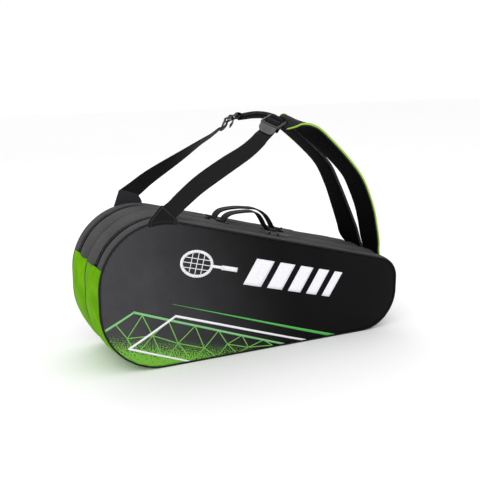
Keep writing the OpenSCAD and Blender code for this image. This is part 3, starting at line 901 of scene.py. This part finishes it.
# Each arch from head end to handle end as (x, z), and its feet's height over the gusset.
ARCHES = {
    "front": ((-0.052, 0.300), (-0.043, 0.3060), (-0.029, 0.3090), (-0.007, 0.3095), (0.016, 0.3080),
              (0.031, 0.3010), (0.041, 0.2880), (0.048, 0.2745)),
    "rear": ((-0.055, 0.300), (-0.045, 0.3075), (-0.028, 0.3105), (-0.004, 0.3110), (0.020, 0.3085),
             (0.048, 0.3030), (0.070, 0.2890), (0.083, 0.2725))}
FOOT = 0.0080
for side, out in SIDES:
    arch = ARCHES[side]
    ends = [
        (-1, on_top(arch[0][0] - 0.006, out * HANDLE_Y)),
        (1, on_top(arch[-1][0] + 0.009, out * HANDLE_Y))]
    route = [ends[0][1] @ Vector((x, 0, FOOT)) for x in (-0.018, -0.008, 0.0)]
    route += [Vector((x, out * HANDLE_Y, z)) for x, z in arch]
    route += [ends[1][1] @ Vector((x, 0, FOOT)) for x in (0.0, 0.008, 0.018)]
    sides = [Vector((0, -1, 0))] * len(route)
    bm = bmesh.new()
    carry_section(
        bm, flat_section(HANDLE_T), strap_frames(route, sides, [HANDLE_W] * len(route), 3))
    handle = make_piece(bm, side + "_grab_handle", webbing_weave)
    seat = on_top(HANDLE_X, out * HANDLE_Y)
    foot = seat @ Vector((0, 0, FOOT + 0.003))
    head = seat @ Vector((0, 0, FOOT + 0.016))
    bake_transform(handle, "shell", side + "_handle", start=foot, end=head)
    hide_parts(side + "_handle")
    bm = bmesh.new()
    stitches = bmesh.new()
    for way, place in ends:
        middle = way * 0.008
        bmesh.ops.create_cube(
            bm, size=1, matrix=place @ Matrix.Translation((middle, 0, 0.0052))
            @ Matrix.Diagonal((0.034, 0.031, 0.0030, 1)))
        sew_box(stitches, place, sorted((way * 0.016, way * 0.002)), (-0.0095, 0.0095), FOOT + 0.0019)
        up = place.to_3x3() @ Vector((0, 0, 1))
        for y in (-0.0140, 0.0140):
            sew(stitches, place @ Vector((middle - 0.015, y, 0.0069)),
                place @ Vector((middle + 0.015, y, 0.0069)), up)
    bmesh.ops.bevel(
        bm, geom=bm.edges[:], offset=0.0008, segments=2, profile=0.5, affect="EDGES", material=-1)
    patches = make_piece(bm, side + "_handle_foot_patches", piping_tape)
    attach(patches, "shell")
    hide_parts(side + "_handle_patches")
    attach(make_piece(stitches, side + "_handle_stitches", thread), "shell")


# ---- Strap tabs ----
# Folded cloth sewn into the seam at the head end: a black triangle in front, a grey
# one behind. The strap's webbing is caught in the fold and comes out of its edge.
TAB_T = 0.0032


def folded_tab(name, corners, y, finish, face_out_y):
    """A flat folded tab in the plane of the panel with rounded corners and a stitched edge."""
    bm = bmesh.new()
    face = bm.faces.new([bm.verts.new((x, y - TAB_T / 2, z)) for x, z in corners])
    grown = bmesh.ops.extrude_face_region(bm, geom=[face])["geom"]
    moved = [v for v in grown if isinstance(v, bmesh.types.BMVert)]
    bmesh.ops.translate(bm, verts=moved, vec=(0, TAB_T, 0))
    upright = [e for e in bm.edges if abs((e.verts[0].co - e.verts[1].co).y) > 0.001]
    bmesh.ops.bevel(bm, geom=upright, offset=0.005, segments=4, profile=0.5, affect="EDGES", material=-1)
    rims = [e for e in bm.edges if abs((e.verts[0].co - e.verts[1].co).y) < 0.001]
    bmesh.ops.bevel(bm, geom=rims, offset=0.0012, segments=3, profile=0.5, affect="EDGES", material=-1)
    cloth_map(bm, lambda co: (co.x, co.z))
    tab = make_piece(bm, name, finish)
    middle = Vector((sum(x for x, _ in corners), 0, sum(z for _, z in corners))) / len(corners)
    stitches = bmesh.new()
    ring = [middle + (Vector((x, 0, z)) - middle) * 0.84 for x, z in corners]
    for point in ring:
        point.y = y + face_out_y * 0.0018
    for a, b in zip(ring, ring[1:] + ring[:1]):
        sew(stitches, a, b, Vector((0, face_out_y, 0)))
    return tab, make_piece(stitches, name + "_stitches", thread)


# The front tab is flat black cloth. The rear one is charcoal with lighter flecks. Their
# 0.4 mm weaves are drawn at 1.6 mm.
black_cloth = woven_cloth("black_coated_cloth", "#0a0a0b", "#141416", 1.6, 2.0, 0.6)
grey_cloth = woven_cloth("charcoal_heathered_polyester", "#1d1d1f", "#38383b", 1.6, 1.6, 0.8, fleck=0.6)
# Each tab's corners as (x, z).
FRONT_TAB = ((-0.262, 0.310), (-0.200, 0.310), (-0.199, 0.329), (-0.232, 0.361), (-0.263, 0.326))
REAR_TAB = (
    (-0.272, 0.306), (-0.204, 0.310), (-0.205, 0.331), (-0.214, 0.346), (-0.258, 0.361), (-0.273, 0.320))
for side, out, corners, finish in (
        ("front", -1, FRONT_TAB, black_cloth), ("rear", 1, REAR_TAB, grey_cloth)):
    tab, row = folded_tab(side + "_strap_fold", corners, out * 0.1030, finish, out)
    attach(tab, side + "_lid")
    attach(row, side + "_lid")
    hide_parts(side + "_strap_tab")


# ---- Shoulder strap webbing ----
# 38 mm polypropylene webbing, sewn into the tab. It turns on edge as it rises, so the two
# straps face each other, then passes up over the ladder-lock's middle bar and back under.

# The webbing's width and thickness, and where each ladder-lock's middle lies.
WEB_W, WEB_T = 0.038, 0.0020
BUCKLE_PLACES = {"front": (0.040, -0.081, 0.517), "rear": (0.017, 0.088, 0.511)}


def buckle_seat(side, out):
    """The ladder-lock's frame: X towards the pad, Y across the strap, Z out of its face."""
    ahead = Vector((0.887, -out * 0.290, 0.356)).normalized()
    across = Vector((out * 0.4, 0.87, -out * 0.28))
    across = (across - ahead * across.dot(ahead)).normalized()
    turn = Matrix((ahead, across, ahead.cross(across))).transposed().to_4x4()
    return Matrix.Translation(BUCKLE_PLACES[side]) @ turn


def mm(points):
    """Points given in millimetres, as vectors in metres."""
    return [Vector(p) / 1000 for p in points]


def ways(directions):
    """Directions of any length, as unit vectors."""
    return [Vector(d).normalized() for d in directions]


# The webbing's middle line in millimetres, and the direction across it at each point.
WEB_ROUTES = {
    "front": mm([
        (-222, -103, 340), (-206, -103, 350), (-186, -101, 366), (-144, -98, 396), (-83, -94, 430),
        (-34, -90, 455), (-6, -88, 474), (8, -87, 487)]),
    "rear": mm([
        (-250, 104.5, 341), (-222, 103.5, 358), (-183, 102, 385), (-110, 98, 427), (-60, 95, 457),
        (-36, 94, 470), (-24, 93, 478), (-12, 92, 486)])}
WEB_SIDES = {
    "front": ways([
        (0.58, 0, -0.81), (0.58, 0, -0.81), (0.56, -0.05, -0.82), (0.54, -0.2, -0.8), (0.5, -0.5, -0.7),
        (0.48, -0.7, -0.5), (0.45, -0.8, -0.4), (0.42, -0.85, -0.32)]),
    "rear": ways([
        (0.62, 0, -0.78), (0.62, 0, -0.78), (0.55, 0.25, -0.75), (0.45, 0.6, -0.6), (0.3, 0.8, -0.45),
        (0.35, 0.85, -0.35), (0.4, 0.87, -0.3), (0.4, 0.87, -0.28)])}
# Along the ladder-lock and out of its face: under its edge, over the bar, and back beneath.
THREADED = ((-29.5, -15.8), (-21.0, -13.2), (-14.0, -9.0), (-9.4, -3.2), (-5.6, 2.6), (-1.0, 4.6), (3.2, 3.0),
            (5.0, -1.6), (3.0, -7.5), (-3.0, -13.0), (-10.0, -17.0))
for side, out in SIDES:
    seat = buckle_seat(side, out)
    across = seat.to_3x3() @ Vector((0, out, 0))
    route = WEB_ROUTES[side] + [seat @ (Vector((x, 0, z)) / 1000) for x, z in THREADED]
    split = len(WEB_ROUTES[side]) - 1
    sides = WEB_SIDES[side] + [across] * len(THREADED)
    frames = strap_frames(route, sides, [WEB_W] * len(route), 8)
    for share, span, bodies, turn in (
            ("strap_webbing", frames[:split * 8 + 1], (side + "_lid", side + "_strap"), (route[1], route[3])),
            ("threaded_webbing", frames[split * 8:], (side + "_strap", side + "_buckle"),
             (route[split + 1], seat @ Vector((-0.010, 0, 0))))):
        bm = bmesh.new()
        carry_section(bm, flat_section(WEB_T, 8), span)
        webbing = make_piece(bm, f"{side}_{share}", webbing_weave)
        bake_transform(webbing, *bodies, start=turn[0], end=turn[1])
        if share == "strap_webbing":
            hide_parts(side + "_webbing")


# ---- Shoulder pads ----
# Foam between a dense woven cover and a spacer-mesh face, bound in lime tape along the edge
# that faces away from the other pad. The neck holds the ladder-lock. The lower part is a
# separate foot, which stays sewn to the bag's body when the lid and the strap move.
PAD_W, NECK_W = 0.058, 0.034
# The pad's middle line from neck to foot in millimetres, and the direction across it.
PAD_ROUTES = {
    "front": mm([
        (66, -77, 512), (94, -74, 516), (131, -72, 497), (166, -71, 471), (220, -67, 425),
        (262, -62, 382), (288, -56, 342), (312, -49, 295), (328, -42, 252), (340, -36, 214),
        (348, -32, 186), (357, -31, 166)]),
    "rear": mm([
        (39, 84, 515), (80, 83, 518), (116, 77, 512), (160, 74, 485), (215, 72, 440),
        (262, 68, 392), (288, 60, 338), (305, 51, 288), (320, 42, 240), (328, 37, 212),
        (342, 33, 185), (356, 31, 166)])}
PAD_SIDES = {
    "front": ways([
        (0.1, -0.66, -0.74), (0.18, -0.94, -0.27), (0.3, -0.93, 0.1), (0.33, -0.93, 0.08),
        (0.28, -0.96, 0.03), (0.25, -0.97, 0), (0.25, -0.97, 0), (0.22, -0.97, 0), (0.2, -0.98, 0),
        (0.18, -0.98, 0), (0.08, -1, 0), (0, -1, 0)]),
    "rear": ways([
        (-0.4, -0.87, 0.28), (-0.35, -0.9, 0.25), (-0.15, -0.97, 0.15), (0, -1, 0.05), (0.05, -1, 0.05),
        (0.1, -1, 0.05), (0.12, -1, 0), (0.2, -0.98, 0), (0.3, -0.95, 0), (0.35, -0.93, 0),
        (0.15, -0.99, 0), (0, -1, 0)])}
# The pad's width at each of those points.
PAD_WIDTHS = {
    "front": [NECK_W, 0.060, 0.063, 0.062, 0.060] + [PAD_W] * 5 + [0.054, 0.046],
    "rear": [NECK_W, 0.056, 0.068, 0.068, 0.062] + [PAD_W] * 5 + [0.054, 0.046]}
# The route's point where the pad ends and the foot starts, and the rings between points.
FOOT_FROM = 8
PER_SPAN = 10
# Where the bending starts and ends: the pad from lid to strap, the foot from body to lid.
PAD_TURN = {"front": ((325, -43, 262), (300, -53, 322)), "rear": ((316, 43, 254), (296, 56, 318))}
FOOT_TURN = {"front": ((356, -31, 168), (330, -41, 246)), "rear": ((355, 31, 168), (322, 39, 234))}

# Pad cover: a dense charcoal weave, matt and even at a distance, drawn at 2 mm.
pad_cover = woven_cloth(
    "dense_woven_pad_cover", "#18181a", "#2c2c2f", 2.0, 2.0, 0.7, 0.35)
# Lime grosgrain: a fresh pale lime line with fine ribs across it, drawn at 2.4 mm, with a painted highlight
# on each rib's crest and painted shade between them.
lime_tape = ribbed_webbing("lime_grosgrain_binding", "#8eb83c", "#b0da58", 2.4)
# Spacer mesh: deep black with rows of soft dimples. Its 2.5 mm holes are drawn at 4 mm.
air_mesh, tree, skin = new_finish("spacer_mesh", 0.85, Specular_IOR_Level=0.04)
place = add_node(tree, "UVMap", uv_map="cloth").outputs["UV"]
holes = add_node(tree, "TexVoronoi", {
    "Vector": place, "Scale": 1000 / 4.0, "Randomness": 0.15}, voronoi_dimensions="2D")
rim = add_node(tree, "MapRange", {
    "Value": holes.outputs["Distance"], "From Min": 0.18, "From Max": 0.42})
shade = add_node(tree, "Mix", {
    0: rim.outputs[0], 6: linear("#010102"), 7: linear("#0a0a0c")}, data_type="RGBA")
tree.links.new(shade.outputs[2], skin.inputs["Base Color"])
bump = add_node(tree, "Bump", {"Strength": 0.8, "Distance": 0.0012, "Height": rim.outputs[0]})
tree.links.new(bump.outputs[0], skin.inputs["Normal"])

# Sections of the layers: across in half widths, except the binding, and height in metres.
spread = [-0.99 + 1.98 * k / 10 for k in range(11)]
COVER = [(a, -0.0028 - 0.0026 * (1 - abs(a) ** 3)) for a in spread]
COVER += [(a, 0.0040) for a in reversed(spread)]
MESH = [(a * 0.99, 0.0042) for a in spread]
MESH += [(a * 0.99, 0.0052 + 0.0016 * (1 - abs(a) ** 3)) for a in reversed(spread)]
BINDING = [(0.0011 * math.cos(math.tau * k / 12), -0.0018 + 0.0024 * math.sin(math.tau * k / 12))
           for k in range(12)]
for side, out in SIDES:
    route, sides, widths = PAD_ROUTES[side], PAD_SIDES[side], PAD_WIDTHS[side]
    split = FOOT_FROM * PER_SPAN
    middle = strap_frames(route, sides, widths, PER_SPAN)
    edge = strap_frames(route, sides, widths, PER_SPAN, -out, False)
    layers = {
        "cover": (COVER, pad_cover, middle, "pad"),
        "mesh": (MESH, air_mesh, middle, "pad_mesh"),
        "binding": (BINDING, lime_tape, edge, "pad_trim")}
    for part, (section, finish, frames, node) in layers.items():
        for share, span, bodies, turn in (
                ("pad", frames[:split + 1], (side + "_lid", side + "_strap"), PAD_TURN),
                ("foot", frames[split:], ("shell", side + "_lid"), FOOT_TURN)):
            bm = bmesh.new()
            carry_section(bm, section, span)
            piece = make_piece(bm, f"{side}_{share}_{part}", finish, sharp=50)
            start, end = mm(turn[side])
            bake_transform(piece, *bodies, start=start, end=end)
            if share == "pad":
                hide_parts(f"{side}_{node}")

# The front pad's tape also runs a little way along the neck's other edge, then turns under.
bm = bmesh.new()
neck_frames = strap_frames(
    PAD_ROUTES["front"], PAD_SIDES["front"], PAD_WIDTHS["front"], PER_SPAN, -1, False)[:PER_SPAN + 3]
carry_section(bm, BINDING, neck_frames)
neck_tape = make_piece(bm, "front_neck_binding", lime_tape, sharp=50)
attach(neck_tape, "front_strap")


# ---- Pad anchors ----
# A patch of webbing sewn flat over the curve of the handle end. The pad's foot is stitched
# down on it, and it spreads the load over the gusset.
ANCHOR = ((0.0120, 0.0004), (0.0125, 0.0024), (0.0495, 0.0024), (0.0500, 0.0004))
ANCHOR_LOW, ANCHOR_HIGH = 0.096, 0.170
for side, out in SIDES:
    bm = bmesh.new()
    sweep_outline(bm, [(out * y, height) for y, height in ANCHOR], True, 0.005)
    cut(bm, Vector((0, 0, ANCHOR_LOW)), Vector((0, 0, -1)))
    cut(bm, Vector((0, 0, ANCHOR_HIGH)), Vector((0, 0, 1)))
    cut(bm, Vector((0.300, 0, 0)), Vector((-1, 0, 0)))
    close_ends(bm)
    strip_map(bm, (0.37, 0, 0.13))
    anchor = make_piece(bm, side + "_pad_anchor_patch", webbing_weave)
    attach(anchor, "shell")
    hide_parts(side + "_pad_anchor")


# ---- Ladder-lock buckles ----
# Acetal mouldings: a frame with three bars, cut from one plate and rounded, and a grey
# thumb tab that is lifted to slip the webbing. A webbing loop holds each one to its pad.

# The frame is cut from a plate. BARS are where its two windows begin and end along it, and
# RAIL is its width beside them. THUMB_TAB is the tab's length, width and thickness.
BUCKLE_L, BUCKLE_W, BUCKLE_T, RAIL = 0.034, 0.049, 0.0044, 0.0045
BARS = (-0.0125, -0.0030, 0.0010, 0.0125)
THUMB_TAB = (0.019, 0.044, 0.0026)
# Acetal: smooth plastic with a soft highlight, black for the frame and grey for the tab.
black_acetal = mottled(
    "moulded_acetal_black", "#1c1c1e", "#2b2b2d", 0.34, 130.0, 3.0, 0.15, 0.2, Specular_IOR_Level=0.5)
grey_acetal = mottled(
    "moulded_acetal_grey", "#454547", "#585859", 0.34, 130.0, 3.0, 0.15, 0.2, Specular_IOR_Level=0.5)
for side, out in SIDES:
    seat = buckle_seat(side, out)
    bm = bmesh.new()
    bmesh.ops.create_grid(
        bm, x_segments=1, y_segments=1, size=1,
        matrix=Matrix.Diagonal((BUCKLE_L / 2, BUCKLE_W / 2, 1, 1)))
    for x in BARS:
        bmesh.ops.bisect_plane(
            bm, geom=bm.verts[:] + bm.edges[:] + bm.faces[:], plane_co=(x, 0, 0), plane_no=(1, 0, 0))
    for y in (RAIL - BUCKLE_W / 2, BUCKLE_W / 2 - RAIL):
        bmesh.ops.bisect_plane(
            bm, geom=bm.verts[:] + bm.edges[:] + bm.faces[:], plane_co=(0, y, 0), plane_no=(0, 1, 0))
    windows = []
    for face in bm.faces:
        x, y, _ = face.calc_center_median()
        if abs(y) < BUCKLE_W / 2 - RAIL and (BARS[0] < x < BARS[1] or BARS[2] < x < BARS[3]):
            windows.append(face)
    bmesh.ops.delete(bm, geom=windows, context="FACES")
    grown = bmesh.ops.extrude_face_region(bm, geom=bm.faces[:])["geom"]
    moved = [v for v in grown if isinstance(v, bmesh.types.BMVert)]
    bmesh.ops.translate(bm, verts=moved, vec=(0, 0, BUCKLE_T))
    bmesh.ops.translate(bm, verts=bm.verts[:], vec=(0, 0, -BUCKLE_T / 2))
    corners = []
    for e in bm.edges:
        x, y, _ = e.verts[0].co
        upright = abs((e.verts[0].co - e.verts[1].co).z) > BUCKLE_T / 2
        if upright and abs(x) > BUCKLE_L / 2 - 0.0005 and abs(y) > BUCKLE_W / 2 - 0.0005:
            corners.append(e)
    bmesh.ops.bevel(bm, geom=corners, offset=0.0050, segments=5, profile=0.5, affect="EDGES", material=-1)
    sharp = [e for e in bm.edges if e.is_manifold and e.calc_face_angle() > 1.0]
    bmesh.ops.bevel(bm, geom=sharp, offset=0.0009, segments=3, profile=0.5, affect="EDGES", material=-1)
    bmesh.ops.transform(bm, matrix=seat, verts=bm.verts[:])
    buckle = make_piece(bm, side + "_ladder_lock", black_acetal)
    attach(buckle, side + "_buckle")
    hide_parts(side + "_buckle")
    # The thumb tab hangs from the frame's edge: a plate with rounded corners and grip ridges.
    bm = bmesh.new()
    lean = Matrix.Translation((-0.0160, 0, -0.0006)) @ Matrix.Rotation(math.radians(-44), 4, "Y")
    bmesh.ops.create_cube(
        bm, size=1,
        matrix=lean @ Matrix.Translation((-0.009, 0, 0)) @ Matrix.Diagonal((*THUMB_TAB, 1)))
    low = lean.to_3x3() @ Vector((-1, 0, 0))
    ends = sorted(bm.verts, key=lambda v: v.co.dot(low))[4:]
    corners = [e for e in bm.edges if e.verts[0] in ends and e.verts[1] in ends
               and abs((e.verts[0].co - e.verts[1].co).y) < 0.001]
    bmesh.ops.bevel(bm, geom=corners, offset=0.0120, segments=7, profile=0.5, affect="EDGES", material=-1)
    sharp = [e for e in bm.edges if e.calc_face_angle() > 1.0]
    bmesh.ops.bevel(bm, geom=sharp, offset=0.0008, segments=2, profile=0.5, affect="EDGES", material=-1)
    for k in range(3):
        ridge = lean @ Matrix.Translation((-0.0060 - 0.0035 * k, 0, 0.0014))
        bmesh.ops.create_cube(bm, size=1, matrix=ridge @ Matrix.Diagonal((0.0011, 0.026, 0.0010, 1)))
    bmesh.ops.transform(bm, matrix=seat, verts=bm.verts[:])
    tab = make_piece(bm, side + "_thumb_tab", grey_acetal)
    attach(tab, side + "_buckle")
    # The pad's neck ends in a loop of webbing round the bar nearest to it.
    bm = bmesh.new()
    inside = seat.inverted() @ (PAD_ROUTES[side][0] + (PAD_ROUTES[side][1] - PAD_ROUTES[side][0]) * 0.12)
    loop = [inside + Vector((0, 0, 0.0012)), Vector((0.0190, 0, 0.0036)), Vector((0.0140, 0, 0.0042)),
            Vector((0.0098, 0, 0.0)), Vector((0.0140, 0, -0.0042)), Vector((0.0190, 0, -0.0036)),
            inside + Vector((0, 0, -0.0012))]
    route = [seat @ p for p in loop]
    across = seat.to_3x3() @ Vector((0, -1, 0))
    carry_section(bm, flat_section(0.0016, 4), strap_frames(route, [across] * 7, [0.034] * 7, 4))
    neck = make_piece(bm, side + "_neck_loop", webbing_weave)
    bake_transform(neck, side + "_strap", side + "_buckle", start=seat @ Vector((0.023, 0, 0)),
             end=seat @ Vector((0.0165, 0, 0)))


# ---- Screen print on the front panel ----
# Plastisol ink pressed on the coated cloth: a white and a pale green zigzag, a tapering
# green stripe and a net of thin green lines, drawn over the dots that fade up from the base.
def ink(name, dark, light):
    """Ink film: even colour with faint mottling, and the weave showing through it."""
    finish, tree, skin = new_finish(name, 0.42, Specular_IOR_Level=0.3)
    place = add_node(tree, "UVMap", uv_map="cloth").outputs["UV"]
    mottle = add_node(tree, "TexNoise", {"Vector": place, "Scale": 180.0, "Detail": 3.0})
    shade = add_node(tree, "Mix", {0: mottle.outputs[0], 6: linear(dark), 7: linear(light)}, data_type="RGBA")
    tree.links.new(shade.outputs[2], skin.inputs["Base Color"])
    warp = add_node(tree, "TexWave", {"Vector": place, "Scale": 314.16 / 1.8}, bands_direction="X")
    bump = add_node(tree, "Bump", {"Strength": 0.15, "Distance": 0.0001, "Height": warp.outputs["Fac"]})
    tree.links.new(bump.outputs[0], skin.inputs["Normal"])
    return finish


# Ink films: an opaque white and three greens, a little glossier than the cloth, with its
# weave showing through.
white_ink = ink("white_plastisol_ink", "#dcdce0", "#f4f2f6")
pale_ink = ink("pale_green_plastisol_ink", "#6faf6c", "#86c684")
green_ink = ink("green_plastisol_ink", "#62a43c", "#82c45a")
accent_ink = ink("bright_green_plastisol_ink", "#3f9e42", "#55b855")
# Films are divided every 8 mm so that they bend with the panel. RIM_Y is the panel's rim.
CELL = 0.008
RIM_Y = -0.1040


def ink_patch(bm, corners, columns, rows):
    """A patch of film between four corners, taken round from the lower left one."""
    a, b, c, d = (Vector((x, 0, z)) for x, z in corners)
    for v in bmesh.ops.create_grid(bm, x_segments=columns, y_segments=rows, size=0.5)["verts"]:
        u, w = v.co.x + 0.5, v.co.y + 0.5
        v.co = a.lerp(b, u).lerp(d.lerp(c, u), w)


def ink_line(bm, start, end, wide_start, wide_end):
    """A straight line of film whose width may taper."""
    a, b = Vector(start), Vector(end)
    across = Vector((a.y - b.y, b.x - a.x)).normalized() / 2
    a, b = a - (b - a).normalized() * wide_start * 0.4, b + (b - a).normalized() * wide_end * 0.4
    corners = (a - across * wide_start, b - across * wide_end, b + across * wide_end, a + across * wide_start)
    ink_patch(bm, corners, max(1, round((b - a).length / CELL)), 1)


def press(bm, name, finish, lift):
    """Lays the film on the panel's swelling face and lets it bend with the panel."""
    trim_to_outline(bm, 0.0052)
    for v in bm.verts:
        hit = front_surface.ray_cast(Vector((v.co.x, -0.3, v.co.z)), Vector((0, 1, 0)))[0]
        v.co.y = (hit.y if hit else RIM_Y) - lift
    bmesh.ops.recalc_face_normals(bm, faces=bm.faces[:])
    for face in bm.faces:
        if face.normal.y > 0:
            face.normal_flip()
    cloth_map(bm, lambda co: (co.x, co.z))
    film = thicken(make_piece(bm, name, finish, recalc=False), 0.0003, False)
    open_with_lid(film, "front", -1)


# The net's upper, middle and lower joints as (x, z), from the head end on.
NET_TOP = (
    (-0.340, 0.114), (-0.284, 0.129), (-0.226, 0.108), (-0.164, 0.086), (-0.108, 0.066), (-0.050, 0.045),
    (0.006, 0.024))
NET_LOW = (
    (-0.318, 0.082), (-0.262, 0.080), (-0.204, 0.052), (-0.142, 0.030), (-0.086, 0.030), (-0.032, 0.012),
    (0.030, 0.006))
NET_FEET = ((-0.300, 0.040), (-0.236, 0.014), (-0.170, 0.004), (-0.110, 0.002), (-0.060, 0.002))
NET_WIDE = 0.0021
bm = bmesh.new()
for k, low in enumerate(NET_LOW):
    ink_line(bm, NET_TOP[k], low, NET_WIDE, NET_WIDE)
    if k + 1 < len(NET_TOP):
        ink_line(bm, low, NET_TOP[k + 1], NET_WIDE, NET_WIDE)
    if k and k != 4:
        ink_line(bm, NET_LOW[k - 1], low, NET_WIDE, NET_WIDE)
for k, foot in enumerate(NET_FEET):
    ink_line(bm, NET_LOW[k], foot, NET_WIDE, NET_WIDE)
    ink_line(bm, foot, NET_LOW[k + 1], NET_WIDE, NET_WIDE)
press(bm, "front_print_net", green_ink, 0.0004)

bm = bmesh.new()
for start, end in (((-0.366, 0.104), (-0.302, 0.138)), ((-0.302, 0.138), (0.066, 0.002))):
    ink_line(bm, start, end, 0.0052, 0.0044)
press(bm, "front_print_pale_zigzag", pale_ink, 0.0006)

bm = bmesh.new()
ink_line(bm, (-0.216, 0.144), (0.210, -0.002), 0.0006, 0.0076)
press(bm, "front_print_stripe", accent_ink, 0.0006)

# A plain racket seen face on and five slanted bars fill the panel's middle, all along SLOPE.
# HOOP is the middle of the racket's head.
SLOPE = Vector((1, -0.27)).normalized()
RISE = Vector((-SLOPE.y, SLOPE.x))
bm = bmesh.new()
for start, end in (((-0.314, 0.058), (-0.209, 0.116)), ((-0.209, 0.116), (0.126, 0.001))):
    ink_line(bm, start, end, 0.0052, 0.0048)
ink_line(bm, (-0.314, 0.058), (-0.172, 0.002), 0.0046, 0.0040)
HOOP = Vector((-0.158, 0.226))
STRING_W, RIM_W, GRIP_W, BAR_GAP = 0.0016, 0.0062, 0.0100, 0.016


def on_slope(along, up):
    """A point given along the print's slope and square to it, from the hoop's centre."""
    return HOOP + SLOPE * along + RISE * up


hoop = [on_slope(0.036 * math.cos(math.tau * k / 28), 0.027 * math.sin(math.tau * k / 28)) for k in range(28)]
for a, b in zip(hoop, hoop[1:] + hoop[:1]):
    ink_line(bm, a, b, RIM_W, RIM_W)
ink_line(bm, on_slope(0.036, 0), on_slope(0.064, 0), RIM_W, RIM_W)
ink_line(bm, on_slope(0.064, 0), on_slope(0.096, 0), GRIP_W, GRIP_W)
for k in (-1, 0, 1):
    ink_line(bm, on_slope(0.014 * k, -0.024), on_slope(0.014 * k, 0.024), STRING_W, STRING_W)
    ink_line(bm, on_slope(-0.033, 0.011 * k), on_slope(0.033, 0.011 * k), STRING_W, STRING_W)
done = 0.122
for width in (0.046, 0.040, 0.034, 0.028, 0.022):
    foot, lean = on_slope(done, -0.030), RISE * 0.062 + SLOPE * 0.020
    span = SLOPE * width
    ink_patch(bm, (foot, foot + span, foot + span + lean, foot + lean), 5, 8)
    done += width + BAR_GAP
press(bm, "front_print_white", white_ink, 0.0008)


# ---- Sizes ----
# The finished model's box, in metres.
low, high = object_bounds()
